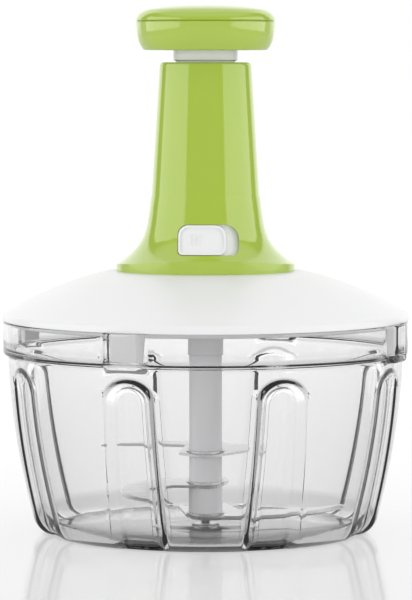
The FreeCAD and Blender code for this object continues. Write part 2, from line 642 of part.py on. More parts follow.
# ---------------------------------------------------------------- drive under the lid
def make_drive_housing():
    cup = turned(
        (SOCKET_R + RUNNING, HOUSING_Z), (HOUSING_R - HOUSING_EDGE, HOUSING_Z),
        (HOUSING_R, HOUSING_Z + HOUSING_EDGE), (HOUSING_R, LID_UNDER_Z - HOUSING_FLANGE_T),
        (HOUSING_FLANGE_R, LID_UNDER_Z - HOUSING_FLANGE_T), (HOUSING_FLANGE_R, LID_UNDER_Z),
        (CAP_R + SEATED, LID_UNDER_Z), (CAP_R + SEATED, CAP_Z), (HOUSING_BORE_R, CAP_Z),
        (HOUSING_BORE_R, WASHER_Z), (SOCKET_R + RUNNING, WASHER_Z))
    holes = body_screw_holes(LID_UNDER_Z - HOUSING_FLANGE_T - OVERSHOOT,
                             HOUSING_FLANGE_T + 2 * OVERSHOOT, BODY_SCREW_R + LOOSE)
    return cut(cup, *holes)


def make_housing_cap():
    return turned(
        (CAP_BORE_R, CAP_Z), (CAP_R, CAP_Z), (CAP_R, LID_UNDER_Z), (CAP_R - CAP_RIM_T, LID_UNDER_Z),
        (CAP_R - CAP_RIM_T, CAP_TOP_Z), (CAP_SPIGOT_R, CAP_TOP_Z),
        (CAP_SPIGOT_R, CAP_TOP_Z + CAP_SPIGOT_H),
        (CAP_BORE_R, CAP_TOP_Z + CAP_SPIGOT_H))


def make_thrust_washer():
    return ring(DISC_R - WASHER_INSET, SOCKET_R + LOOSE, WASHER_Z, WASHER_T)


def ratchet_tooth(way):
    """One saw tooth across the front: its steep side lies in the plane through the axis."""
    base_z = TOOTH_Z if way > 0 else NUT_Z
    root_z, tip_z = base_z - way * TOOTH_ROOT, base_z + way * TOOTH_H
    steep = 0 if way > 0 else TOOTH_GAP
    shallow = steep - way * TOOTH_L
    points = [V(steep, -DISC_R, root_z), V(steep, -DISC_R, tip_z),
              V(shallow, -DISC_R, base_z), V(shallow, -DISC_R, root_z)]
    return Part.Face(Part.makePolygon(points + points[:1])).extrude(V(0, TOOTH_W, 0))


def make_drive_socket():
    neck = disc(SOCKET_R, SOCKET_FOOT_Z, DISC_Z - SOCKET_FOOT_Z + OVERSHOOT)
    plate = disc(DISC_R, DISC_Z, SOCKET_DISC_T)
    rim = disc(DISC_R, DISC_Z, SOCKET_DISC_T + TOOTH_H)
    teeth = [t.common(rim) for t in round_and_round(ratchet_tooth(1), TEETH)]
    socket_h = STEM_TOP_Z + HEX_H + LOOSE - SOCKET_FOOT_Z
    hex_bore = hexagon(HEX_AF + 2 * HEX_SLACK, SOCKET_FOOT_Z - OVERSHOOT, socket_h + OVERSHOOT)
    rod_bore = disc(SOCKET_BORE_R, SOCKET_FOOT_Z, 2 * HOUSING_H)
    return cut(fuse(neck, plate, *teeth), hex_bore, rod_bore)


def make_drive_nut():
    plate = disc(DISC_R, NUT_Z, NUT_T / 2)
    neck = disc(NUT_NECK_R, NUT_Z, NUT_T)
    rim = disc(DISC_R, NUT_Z - TOOTH_H, NUT_T)
    teeth = [t.common(rim) for t in round_and_round(ratchet_tooth(-1), TEETH)]
    slot = twisted_bar(ROD_W + 2 * NUT_SLACK, ROD_T + 2 * NUT_SLACK,
                       NUT_Z - OVERSHOOT, NUT_Z + NUT_T + OVERSHOOT)
    return cut(fuse(plate, neck, *teeth), slot)


# ---------------------------------------------------------------- plunger and knob
def make_plunger_tube():
    inner = TUBE_R - TUBE_WALL
    tube = turned(
        (inner, FOOT_Z), (FOOT_FLANGE_R, FOOT_Z), (FOOT_FLANGE_R, FLANGE_TOP_Z), (TUBE_R, FLANGE_TOP_Z),
        (TUBE_R, COLLAR_Z - COLLAR_SLOPE), (COLLAR_R, COLLAR_Z), (COLLAR_R, KNOB_Z), (inner, KNOB_Z))
    web = disc(inner + TUBE_WALL / 2, WEB_Z, WEB_T)
    rod_boss = disc(ROD_BOSS_R, WEB_Z, WEB_T + ROD_OVER_WEB)
    screw_boss = post(KNOB_BOSS_R, KNOB_SCREW_CIRCLE, WEB_Z, KNOB_Z - WEB_Z)
    bosses = round_and_round(screw_boss, KNOB_SCREWS, 180)
    tube = fuse(tube, web, rod_boss, *bosses)
    rod_hole = disc(math.hypot(ROD_W, ROD_T) / 2 + SEATED, WEB_Z - OVERSHOOT, KNOB_Z - WEB_Z)
    pin_hole = Part.makeCylinder(ROD_PIN_R, 2 * ROD_BOSS_R, V(-ROD_BOSS_R, 0, ROD_PIN_Z), V(1, 0, 0))
    pilot = post(KNOB_SCREW_R + PILOT_BITE, KNOB_SCREW_CIRCLE, KNOB_Z - KNOB_SCREW_L, KNOB_SCREW_L)
    key_slot = block(KEY_RIB_T + 2 * LOOSE, KEY_RIB_R - LOOSE, 2 * FOOT_FLANGE_R,
                     FOOT_Z - OVERSHOOT, FOOT_FLANGE_T + 2 * OVERSHOOT)
    notch = block(LATCH_W + 2 * NOTCH_SLACK, TUBE_R + SEATED, 2 * FOOT_FLANGE_R,
                  FOOT_Z - OVERSHOOT, FOOT_FLANGE_T + 2 * OVERSHOOT)
    return cut(tube, rod_hole, pin_hole, at_azimuth(notch, LOCK_AZIMUTH),
               *round_and_round(pilot, KNOB_SCREWS, 180), *round_and_round(key_slot, 2, 90))


def make_knob_base():
    top_z = KNOB_Z + KNOB_BASE_H
    side = [(KNOB_R - inside, KNOB_Z + up) for inside, up in KNOB_SIDE] + [(KNOB_R, top_z)]
    bend, foot = [(KNOB_R - inside, KNOB_Z + up) for inside, up in KNOB_FOOT_BEND]
    inner_side = [(r - KNOB_WALL, z) for r, z in reversed(side[:-1])]
    shell = turned(
        (0, KNOB_Z), (KNOB_FOOT_R, KNOB_Z), [bend, foot], side, (KNOB_R - KNOB_WALL, top_z),
        inner_side + [(foot[0] - KNOB_WALL, KNOB_Z + KNOB_WALL)], (0, KNOB_Z + KNOB_WALL))
    hole = post(KNOB_SCREW_R + LOOSE, KNOB_SCREW_CIRCLE, KNOB_Z - OVERSHOOT, KNOB_WALL + 2 * OVERSHOOT)
    return cut(shell, *round_and_round(hole, KNOB_SCREWS, 180))


def make_knob_cap():
    low = KNOB_Z + KNOB_BASE_H + KNOB_GAP
    top = low + KNOB_CAP_H
    ring_r = KNOB_R - KNOB_SIDE[-1][0] - KNOB_WALL - SEATED
    edge = [(KNOB_R - inside, low + up) for inside, up in KNOB_CROWN] + [(0, top)]
    inner = [(r - KNOB_WALL, z - KNOB_WALL) for r, z in edge[2:-1]]
    inner_low = (ring_r - KNOB_RING_T, low - KNOB_GAP / 2)
    return turned(
        (KNOB_R, low), edge, (0, top - KNOB_WALL), inner[::-1] + [inner_low],
        (ring_r - KNOB_RING_T, low - KNOB_RING_H), (ring_r, low - KNOB_RING_H), (ring_r, low))


def make_knob_screws():
    head_z = KNOB_Z + KNOB_WALL
    one = screw(KNOB_SCREW_R, KNOB_SCREW_L, KNOB_SCREW_HEAD_R, KNOB_SCREW_HEAD_H,
                (0, -KNOB_SCREW_CIRCLE), head_z, False)
    return Part.makeCompound(round_and_round(one, KNOB_SCREWS, 180))


def make_spiral_rod():
    bar = twisted_bar(ROD_W, ROD_T, ROD_FOOT_Z, ROD_TOP_Z)
    pin_hole = Part.makeCylinder(ROD_PIN_R, ROD_W, V(-ROD_W / 2, 0, ROD_PIN_Z), V(1, 0, 0))
    return bar.cut(pin_hole)


def make_rod_pin():
    length = 2 * ROD_BOSS_R - 0.6
    return Part.makeCylinder(ROD_PIN_R, length, V(-length / 2, 0, ROD_PIN_Z), V(1, 0, 0))


def make_return_spring():
    low, high = CAP_TOP_Z + SPRING_WIRE_R, WEB_Z - SPRING_WIRE_R
    path = Part.makeHelix((high - low) / SPRING_TURNS, high - low, SPRING_R)
    wire = Part.Wire([Part.makeCircle(SPRING_WIRE_R, V(SPRING_R, 0, 0), V(0, 1, 0))])
    coil = Part.Wire(path).makePipeShell([wire], True, True)
    coil.translate(V(0, 0, low))
    return coil


# ---------------------------------------------------------------- lock
def make_lock_plate():
    skin = column_skin(COLUMN_WALL + SEATED, COLUMN_WALL + SEATED + PLATE_T)
    panel = skin.common(window_panel(PLATE_BORDER, WINDOW_NEAR_R))
    peg_sweep = math.radians(LOCK_TURN) * 0.75 * COLUMN_FLANGE_R
    slot = block(PEG_W + peg_sweep + 4 * LOOSE, PEG_IN_R - OVERSHOOT, COLUMN_FLANGE_R,
                 SEAT_Z + PEG_Z - LOOSE, PEG_H + 2 * LOOSE)
    return panel.cut(at_azimuth(slot, LOCK_AZIMUTH + LOCK_TURN / 2))


def button_panel(inset, near_r):
    fit = BUTTON_FIT + inset
    corners = [max(c - inset, BUTTON_CORNER_LEAST) for c in BUTTON_CORNERS]
    left = WINDOW_LEFT + fit
    return rounded_panel(left, left + BUTTON_W - 2 * inset, SEAT_Z + WINDOW_LOW + fit,
                         SEAT_Z + WINDOW_HIGH - fit, corners, near_r, COLUMN_FLANGE_R + OVERSHOOT)


def make_lock_button():
    half_depth = BUTTON_SUNK + BUTTON_T / 2
    whole = button_panel(0, WINDOW_NEAR_R)
    face = column_skin(BUTTON_SUNK, BUTTON_SUNK + BUTTON_T).common(whole)
    proud = column_skin(BUTTON_SUNK - BUTTON_RIM_H, half_depth)
    rim = proud.common(whole).cut(button_panel(BUTTON_RIM, WINDOW_NEAR_R))
    rib_skin = column_skin(-GRIP_RIB_PROUD, half_depth)
    rib_w, rib_h = GRIP_RIB
    ribs = []
    for n in range(GRIP_RIBS):
        corner = V(WINDOW_LEFT + GRIP_RIB_IN + GRIP_RIB_PITCH * n, -COLUMN_FLANGE_R,
                   SEAT_Z + WINDOW_HIGH - GRIP_RIB_DROP)
        ribs.append(rib_skin.common(Part.makeBox(rib_w, COLUMN_FLANGE_R, rib_h, corner)))
    peg = block(PEG_W, PEG_IN_R, COLUMN_FLANGE_R - PEG_INSET / 2, SEAT_Z + PEG_Z, PEG_H)
    under = column_skin(half_depth, half_depth + PEG_L).common(at_azimuth(peg, LOCK_AZIMUTH))
    peg_end = block(PEG_W, PEG_IN_R, PEG_IN_R + PEG_L, SEAT_Z + PEG_Z, PEG_H)
    body = fuse(face, rim, *ribs, under, at_azimuth(peg_end, LOCK_AZIMUTH))
    start = V(0, -PEG_IN_R + OVERSHOOT, SEAT_Z + PEG_Z + PEG_H / 2)
    pilot_l = LOCK_SCREW_BITE + 1.5 * OVERSHOOT
    pilot = Part.makeCylinder(LOCK_SCREW_R + PILOT_BITE, pilot_l, start, V(0, -1, 0))
    return body.cut(at_azimuth(pilot, LOCK_AZIMUTH))


def make_lock_latch():
    tongue = block(LATCH_W, LATCH_IN_R, PEG_IN_R, LATCH_Z, LATCH_T)
    riser_h = SEAT_Z + PEG_Z + PEG_H + LATCH_OVER_PEG - LATCH_Z
    riser = block(LATCH_BLOCK_W, PEG_IN_R - LATCH_BLOCK_T, PEG_IN_R, LATCH_Z, riser_h)
    hole = Part.makeCylinder(LOCK_SCREW_R + SEATED, 3 * LATCH_BLOCK_T,
                             V(0, -PEG_IN_R + 2 * LATCH_BLOCK_T, SEAT_Z + PEG_Z + PEG_H / 2), V(0, -1, 0))
    return at_azimuth(fuse(tongue, riser).cut(hole), LOCK_AZIMUTH)


def make_lock_screw():
    z = SEAT_Z + PEG_Z + PEG_H / 2
    head_far = PEG_IN_R - LATCH_BLOCK_T
    inward = V(0, LOCK_SCREW_HEAD_H, 0)
    seat = V(0, -head_far, z)
    head = Part.makeCylinder(LOCK_SCREW_HEAD_R, LOCK_SCREW_HEAD_H, seat + inward, V(0, -1, 0))
    shank = Part.makeCylinder(LOCK_SCREW_R, LATCH_BLOCK_T + LOCK_SCREW_BITE, seat, V(0, -1, 0))
    slot_corner = seat + inward * 0.6 - V(2 * LOCK_SCREW_HEAD_R, 0, LOCK_SCREW_SLOT / 2)
    slot = Part.makeBox(4 * LOCK_SCREW_HEAD_R, LOCK_SCREW_HEAD_H, LOCK_SCREW_SLOT, slot_corner)
    return at_azimuth(fuse(head, shank).cut(slot), LOCK_AZIMUTH)


# ---------------------------------------------------------------- stem and blades
def make_stem_core():
    shaft_z = END_CAP_Z + END_CAP_T / 2
    shaft = disc(CORE_R, shaft_z, STEM_TOP_Z - shaft_z)
    flats_top = BLADE_Z["upper"] + BLADE_T
    flats = [Part.makeBox(4 * CORE_R, CORE_R, flats_top - shaft_z, V(-2 * CORE_R, y, shaft_z))
             for y in (CORE_FLATS / 2, -CORE_FLATS / 2 - CORE_R)]
    head = hexagon(HEX_AF, STEM_TOP_Z, HEX_H)
    inside, lead_h = HEX_LEAD_IN
    hex_top = STEM_TOP_Z + HEX_H
    lead_in = turned((0, STEM_TOP_Z), (HEX_AF, STEM_TOP_Z), (HEX_AF, hex_top - lead_h),
                     (HEX_AF / 2 - inside, hex_top), (0, hex_top))
    rod_bore = disc(CORE_BORE_R, CORE_BORE_Z, hex_top - CORE_BORE_Z + OVERSHOOT)
    pin_bore = disc(PIN_R, shaft_z - OVERSHOOT, PIN_IN_STEM + OVERSHOOT)
    return cut(fuse(shaft.cut(flats), head.common(lead_in)), rod_bore, pin_bore)


def core_hole(z, height):
    """The keyed hole that fits over the core's flats."""
    flat = Part.makeBox(4 * CORE_R, CORE_FLATS + 2 * SEATED, height,
                        V(-2 * CORE_R, -CORE_FLATS / 2 - SEATED, z))
    return disc(CORE_R + SEATED, z, height).common(flat)


def stem_piece(radius, z_low, z_high):
    return ring(radius, CORE_R + SEATED, z_low, z_high - z_low)


def make_stem_sleeve():
    return stem_piece(STEM_R, BLADE_Z["upper"] + BLADE_T / 2, STEM_TOP_Z)


def make_spacer_upper():
    return stem_piece(STEM_R, BLADE_Z["middle"] + BLADE_T / 2, BLADE_Z["upper"] - BLADE_T / 2)


def make_spacer_lower():
    return stem_piece(STEM_LOW_R, BLADE_Z["lower"] + BLADE_T / 2, BLADE_Z["middle"] - BLADE_T / 2)


def make_end_cap():
    top_z = END_CAP_Z + END_CAP_T
    cap = turned((0, END_CAP_Z), (STEM_R - END_CAP_EDGE, END_CAP_Z),
                 (STEM_R, END_CAP_Z + END_CAP_EDGE), (STEM_R, top_z), (0, top_z))
    shaft_end = core_hole(END_CAP_Z + END_CAP_T / 2 - SEATED, END_CAP_T)
    return cut(cap, shaft_end, disc(PIN_R, END_CAP_Z - OVERSHOOT, 2 * END_CAP_T))


def make_pivot_pin():
    tip_z = SOCKET_FLOOR_T + SEATED
    neck_z = FLOOR_T + SOCKET_BOSS_H + SEATED
    top_z = END_CAP_Z + END_CAP_T / 2 + PIN_IN_STEM
    return turned(
        (0, tip_z), (PIN_TIP_R - PIN_TIP_EDGE, tip_z), (PIN_TIP_R, tip_z + PIN_TIP_EDGE),
        (PIN_TIP_R, neck_z),
        (PIN_R, END_CAP_Z), (PIN_R, top_z), (0, top_z))


def turn_between(centre, start, bend, end):
    """Signed degrees from start through bend to end about an upright line."""
    def step(a, b):
        u, v = a - centre, b - centre
        return math.degrees(math.atan2(u.x * v.y - u.y * v.x, u.x * v.x + u.y * v.y))
    return step(start, bend) + step(bend, end)


def grind(plate, start, bend, end):
    """Cut the slope of a cutting edge along one arc of a plate that lies on Z = 0."""
    curve = Part.Arc(start, bend, end).toShape().Curve
    centre, radius = curve.Center, curve.Radius
    middle = V(0, 0, BLADE_T / 2)
    inward = (centre - bend).normalize()
    side = -1 if plate.isInside(bend + inward * 0.2 + middle, 0.01, True) else 1
    depth, width = EDGE_GRIND
    past = OVERSHOOT
    out = (start - centre).normalize()
    foot = BLADE_T - depth * (1 + past / width)
    corners = [centre + out * (radius + side * width) + V(0, 0, BLADE_T),
               centre + out * (radius - side * past) + V(0, 0, BLADE_T + depth * past / width),
               centre + out * (radius - side * past) + V(0, 0, foot)]
    wedge = Part.Face(Part.makePolygon(corners + corners[:1]))
    return plate.cut(wedge.revolve(centre, UP, turn_between(centre, start, bend, end)))


def blade(name, points, ground):
    """One blade: a plate outline in X and Y, tilted, with a flat hub and ground cutting edges.

    ground numbers the outline's arcs that are cutting edges.
    """
    z = BLADE_Z[name] - BLADE_T / 2
    edges, arcs, here = [], [], V(*points[0], 0)
    for step in points[1:] + points[:1]:
        if isinstance(step, tuple):
            there = V(*step, 0)
            edges.append(Part.LineSegment(here, there).toShape())
        else:
            bend, there = (V(*p, 0) for p in step)
            edges.append(Part.Arc(here, bend, there).toShape())
            arcs.append((here, bend, there))
        here = there
    plate = Part.Face(Part.Wire(edges)).extrude(V(0, 0, BLADE_T))
    for n in ground:
        plate = grind(plate, *arcs[n])
    plate.translate(V(0, 0, z))
    plate.rotate(V(0, 0, BLADE_Z[name]), V(1, 0, 0), BLADE_TILT)
    room = disc(STEM_LOW_R + LOOSE, z - 5 * BLADE_T, 11 * BLADE_T)
    hub = disc(HUB_R, z, BLADE_T)
    return cut(fuse(hub, plate.cut(room)), core_hole(z - OVERSHOOT, BLADE_T + 2 * OVERSHOOT))


def make_blade_upper():
    return blade("upper", UPPER_BLADE, ground=(0, 1))


def make_blade_middle():
    return blade("middle", MIDDLE_BLADE, ground=(1, 2))


def make_blade_lower():
    return blade("lower", LOWER_BLADE, ground=(3,))


# ---------------------------------------------------------------- write every piece
PIECES = {
    "bowl": make_bowl,
    "lid": make_lid,
    "handle_column": make_column,
    "guide_bush": make_guide_bush,
    "body_screws": make_body_screws,
    "drive_housing": make_drive_housing,
    "housing_cap": make_housing_cap,
    "thrust_washer": make_thrust_washer,
    "drive_socket": make_drive_socket,
    "drive_nut": make_drive_nut,
    "plunger_tube": make_plunger_tube,
    "knob_base": make_knob_base,
    "knob_cap": make_knob_cap,
    "knob_screws": make_knob_screws,
    "spiral_rod": make_spiral_rod,
    "rod_pin": make_rod_pin,
    "return_spring": make_return_spring,
    "lock_plate": make_lock_plate,
    "lock_button": make_lock_button,
    "lock_latch": make_lock_latch,
    "lock_screw": make_lock_screw,
    "stem_core": make_stem_core,
    "stem_sleeve": make_stem_sleeve,
    "spacer_upper": make_spacer_upper,
    "spacer_lower": make_spacer_lower,
    "blade_upper": make_blade_upper,
    "blade_middle": make_blade_middle,
    "blade_lower": make_blade_lower,
    "end_cap": make_end_cap,
    "pivot_pin": make_pivot_pin,
}

os.makedirs("parts", exist_ok=True)
for name, make in PIECES.items():
    shape = make()
    shape.exportStep(f"parts/{name}.step")
    print(f"{name:16s} solids {len(shape.Solids)}  volume {shape.Volume:10.1f}  valid {shape.isValid()}")
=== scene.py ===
# %% [markdown]
# # A hand-press food chopper, dressed for a product picture
#
# The chopper stands on a white table: a clear bowl, a domed lid, a flared column with a slide
# lock, a round push knob, and a stem with three blades in the bowl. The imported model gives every
# piece at its real size, in metres. This lesson gives the pieces their looks: first the
# finishes, then the moulded pieces one by one, and at the end the light and the camera.

# %% The frame and the tools
import json
import math

import bmesh
import bpy
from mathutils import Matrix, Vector
from mathutils.geometry import interpolate_bezier

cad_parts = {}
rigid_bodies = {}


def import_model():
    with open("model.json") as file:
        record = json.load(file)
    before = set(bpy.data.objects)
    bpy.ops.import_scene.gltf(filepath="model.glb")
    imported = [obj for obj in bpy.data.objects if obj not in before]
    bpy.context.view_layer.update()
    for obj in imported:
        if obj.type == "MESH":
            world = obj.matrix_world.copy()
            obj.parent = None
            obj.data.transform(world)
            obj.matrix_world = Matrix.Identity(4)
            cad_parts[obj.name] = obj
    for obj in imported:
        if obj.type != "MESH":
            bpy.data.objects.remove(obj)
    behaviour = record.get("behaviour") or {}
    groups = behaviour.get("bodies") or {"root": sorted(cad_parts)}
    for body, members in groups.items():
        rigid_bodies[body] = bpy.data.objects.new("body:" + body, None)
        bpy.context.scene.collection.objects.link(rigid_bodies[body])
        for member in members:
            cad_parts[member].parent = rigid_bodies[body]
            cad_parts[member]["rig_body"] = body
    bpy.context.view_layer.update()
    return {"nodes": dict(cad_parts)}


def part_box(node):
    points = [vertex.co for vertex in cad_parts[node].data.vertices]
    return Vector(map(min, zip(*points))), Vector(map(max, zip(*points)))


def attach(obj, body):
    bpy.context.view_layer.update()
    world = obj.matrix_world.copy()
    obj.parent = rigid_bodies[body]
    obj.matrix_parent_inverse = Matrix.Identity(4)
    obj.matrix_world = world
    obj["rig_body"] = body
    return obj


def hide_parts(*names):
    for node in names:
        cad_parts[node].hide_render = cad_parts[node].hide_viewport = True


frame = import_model()
nodes = frame["nodes"]
MM = 0.001                  # the frame is in metres, and the sizes below are in millimetres
print("pieces in the frame:", len(nodes))

# %% [markdown]
# ## Finishes
#
# Every finish is one Principled shader. What is the same all over is set on the shader's own
# sockets. The first finish is that of the column and the knob: glossy green plastic, moulded in a
# polished tool, with a sharp reflection over a saturated colour. A weak coat gives the second,
# clearer reflection that such a surface has.

# %% Green gloss
def finish(name, **sockets):
    """A material with one Principled shader; keywords name its sockets."""
    made = bpy.data.materials.new(name)
    made.use_nodes = True
    shader = made.node_tree.nodes["Principled BSDF"]
    for socket, value in sockets.items():
        shader.inputs[socket.replace("_", " ")].default_value = value
    return made


green_gloss = finish("green_gloss", IOR=1.5, Coat_Weight=0.6, Coat_Roughness=0.03)
print("made:", green_gloss.name)

# %% [markdown]
# No moulded wall is quite even. Its tone drifts over some centimetres, as the melt flowed, and its
# gloss over some millimetres. Noise makes both. It reads Object coordinates, so it sits still on
# the piece when the piece moves, and it can be drawn out along one axis, as brushed steel needs.

# %% Uneven tone and gloss
def noise(made, size_mm, detail=2.0, stretch=(1, 1, 1)):
    """Noise with spots of about size_mm, drawn out along an axis where stretch is under 1."""
    tree = made.node_tree
    place = tree.nodes.new("ShaderNodeTexCoord")
    scale = tree.nodes.new("ShaderNodeMapping")
    scale.inputs["Scale"].default_value = [s / (size_mm * MM) for s in stretch]
    spots = tree.nodes.new("ShaderNodeTexNoise")
    spots.inputs["Scale"].default_value = 1.0
    spots.inputs["Detail"].default_value = detail
    tree.links.new(place.outputs["Object"], scale.inputs["Vector"])
    tree.links.new(scale.outputs["Vector"], spots.inputs["Vector"])
    return spots.outputs["Fac"]


def vary(made, socket, factor, low, high):
    """Lets a socket run from low to high with a factor; low and high may be colours."""
    tree = made.node_tree
    shader = tree.nodes["Principled BSDF"]
    if isinstance(low, tuple):
        mix = tree.nodes.new("ShaderNodeMix")
        mix.data_type = "RGBA"
        mix.inputs["A"].default_value, mix.inputs["B"].default_value = low, high
        tree.links.new(factor, mix.inputs["Factor"])
        tree.links.new(mix.outputs["Result"], shader.inputs[socket])
    else:
        span = tree.nodes.new("ShaderNodeMapRange")
        span.inputs["To Min"].default_value, span.inputs["To Max"].default_value = low, high
        tree.links.new(factor, span.inputs["Value"])
        tree.links.new(span.outputs["Result"], shader.inputs[socket])


vary(green_gloss, "Base Color", noise(green_gloss, 30),
     (0.372, 0.508, 0.060, 1), (0.398, 0.534, 0.070, 1))
vary(green_gloss, "Roughness", noise(green_gloss, 8), 0.08, 0.14)
print("nodes in the green finish:", len(green_gloss.node_tree.nodes))

# %% [markdown]
# The surface swells and sinks by a hundredth of a millimetre too. Nobody sees that as a shape, but
# it makes long reflections waver slightly. A Bump node does it without any more faces.

# %% Wavering reflections
def uneven(made, height, depth_mm):
    """Lets the surface swell and sink by depth_mm, as light sees it."""
    tree = made.node_tree
    bump = tree.nodes.new("ShaderNodeBump")
    bump.inputs["Distance"].default_value = depth_mm * MM
    tree.links.new(height, bump.inputs["Height"])
    tree.links.new(bump.outputs["Normal"], tree.nodes["Principled BSDF"].inputs["Normal"])


uneven(green_gloss, noise(green_gloss, 12), 0.01)
print("nodes in the green finish:", len(green_gloss.node_tree.nodes))

# %% [markdown]
# The lid is white with a satin skin, so its roughness is higher and its grain is finer. The stem
# is the same plastic in a cool grey. The hidden bushes and the nut are a duller bearing plastic.

# %% White, grey and bearing plastic
white_satin = finish("white_satin", IOR=1.47, Specular_IOR_Level=0.35)
vary(white_satin, "Base Color", noise(white_satin, 40),
     (0.80, 0.80, 0.81, 1), (0.83, 0.83, 0.835, 1))
vary(white_satin, "Roughness", noise(white_satin, 6), 0.26, 0.36)
uneven(white_satin, noise(white_satin, 1.2, detail=3), 0.004)

stem_grey = finish("stem_grey", IOR=1.47)
vary(stem_grey, "Base Color", noise(stem_grey, 25), (0.74, 0.74, 0.755, 1), (0.78, 0.78, 0.79, 1))
vary(stem_grey, "Roughness", noise(stem_grey, 5), 0.35, 0.48)
uneven(stem_grey, noise(stem_grey, 0.9, detail=3), 0.004)

bearing = finish("bearing_plastic", IOR=1.5)
vary(bearing, "Base Color", noise(bearing, 10), (0.55, 0.55, 0.52, 1), (0.60, 0.60, 0.57, 1))
vary(bearing, "Roughness", noise(bearing, 2), 0.4, 0.55)
print("made:", white_satin.name, stem_grey.name, bearing.name)

# %% [markdown]
# The bowl is clear plastic with a faint smoky tint. Clear plastic bends light, so it is a
# transmitting shader with the index of the real resin. The tint isn't on the surface: the resin
# swallows light on its way, so a wall seen from the front is nearly clear, and the floor, seen
# edge on, is grey. Fine scuffs blur it slightly.

# %% Clear plastic
SMOKE_PER_M = 21.0          # share of light that a very short way swallows, per metre
clear_smoke = finish("clear_smoke", Base_Color=(0.985, 0.985, 0.985, 1), IOR=1.52,
                     Transmission_Weight=1.0)
smoke = clear_smoke.node_tree.nodes.new("ShaderNodeVolumeAbsorption")
smoke.inputs["Color"].default_value = (0.5, 0.5, 0.5, 1)    # swallows density * (1 - colour)
smoke.inputs["Density"].default_value = 2 * SMOKE_PER_M
clear_smoke.node_tree.links.new(smoke.outputs["Volume"],
                                clear_smoke.node_tree.nodes["Material Output"].inputs["Volume"])
vary(clear_smoke, "Roughness", noise(clear_smoke, 15), 0.0, 0.02)
uneven(clear_smoke, noise(clear_smoke, 22, detail=1), 0.012)
print("made:", clear_smoke.name, "with", SMOKE_PER_M, "per metre")

# %% [markdown]
# The blades are stamped from stainless strip and ground on a belt: fine lines run along each
# blade. Noise that is drawn out along X makes them, in the roughness and in the surface.

# %% Steel
blade_steel = finish("blade_steel", Base_Color=(0.86, 0.86, 0.87, 1), Metallic=1.0)
vary(blade_steel, "Roughness", noise(blade_steel, 0.6, stretch=(0.03, 1, 1)), 0.2, 0.36)
uneven(blade_steel, noise(blade_steel, 0.5, stretch=(0.02, 1, 1)), 0.003)

bright_steel = finish("bright_steel", Base_Color=(0.62, 0.62, 0.63, 1), Metallic=1.0)
vary(bright_steel, "Roughness", noise(bright_steel, 1.0), 0.14, 0.26)

spring_steel = finish("spring_steel", Base_Color=(0.45, 0.45, 0.46, 1), Metallic=1.0)
vary(spring_steel, "Roughness", noise(spring_steel, 0.8), 0.22, 0.34)
print("made:", blade_steel.name, bright_steel.name, spring_steel.name)

# %% [markdown]
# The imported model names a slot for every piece, such as green_plastic. Each slot takes one finish.
# Blades, screws, spring and the other pieces that aren't modelled again below are done with that.

# %% A finish in every slot
FINISHES = {
    "green_plastic": green_gloss, "white_plastic": white_satin, "stem_plastic": stem_grey,
    "bearing_plastic": bearing, "clear_plastic": clear_smoke, "blade_steel": blade_steel,
    "bright_steel": bright_steel, "spring_steel": spring_steel,
}
for node in nodes.values():
    slot_name = node.data.materials[0].name.split(".")[0]
    node.data.materials[0] = FINISHES[slot_name]
print("finishes:", len(FINISHES))

# %% [markdown]
# ## Turned pieces
#
# Most pieces of the chopper are round, as if turned. Such a piece starts as one outline of
# (radius, height) points. Its curved stretches are smooth lines through a few points, like the
# thin lath that a draughtsman bends past pins.

# %% Smooth line
CURVE_STEPS = 6             # straight runs between two points of a smooth line


def smooth_line(*points):
    """A smooth line through (radius, height) points, as short straight runs."""
    knots = [Vector((r, z)) for r, z in points]
    last = len(knots) - 1
    headings = [(knots[min(n + 1, last)] - knots[max(n - 1, 0)]).normalized()
                for n in range(last + 1)]
    line = [points[0]]
    for n in range(last):
        reach = (knots[n + 1] - knots[n]).length / 3
        leaving = knots[n] + headings[n] * reach
        arriving = knots[n + 1] - headings[n + 1] * reach
        run = interpolate_bezier(knots[n], leaving, arriving, knots[n + 1], CURVE_STEPS + 1)
        line += [(p.x, p.y) for p in run[1:]]
    return line


print("points in a smooth line through three:", len(smooth_line((0, 0), (1, 1), (2, 0))))

# %% [markdown]
# The outline is then spun once about the axis. One that starts and ends on the axis makes a closed
# shell, as in the knob. One that stays clear of it makes a ring, so its two ends are joined first.

# %% Spin an outline
TURN_STEPS = 144            # facets in one turn
SAME_MM = 0.001             # points nearer than this to each other, or to the axis, coincide


def spun(outline):
    """A bmesh that an outline sweeps in one turn. The outline is a ring, or runs axis to axis."""
    bm = bmesh.new()
    chain = [bm.verts.new((0, -r * MM, z * MM)) for r, z in outline]
    pairs = list(zip(chain, chain[1:]))
    if max(outline[0][0], outline[-1][0]) > SAME_MM:
        pairs.append((chain[-1], chain[0]))
    edges = [bm.edges.new(pair) for pair in pairs]
    bmesh.ops.spin(bm, geom=chain + edges, cent=(0, 0, 0), axis=(0, 0, 1), angle=math.tau,
                   steps=TURN_STEPS, use_merge=True)
    bmesh.ops.remove_doubles(bm, verts=bm.verts, dist=SAME_MM * MM)
    bmesh.ops.recalc_face_normals(bm, faces=bm.faces)
    return bm


print(f"a facet every {360 / TURN_STEPS:.1f} degrees")

# %% [markdown]
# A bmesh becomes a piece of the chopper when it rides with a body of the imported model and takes
# the place of one of its pieces. The Bevel modifier rounds the sharp edges, because no moulded
# edge is sharp, and the thin highlight on a rounded edge is what makes it look real.

# %% Make it a piece
SHARP = math.radians(32)    # an edge that turns by more than this gets rounded
ROUND_STEPS = 3             # facets across a rounded edge


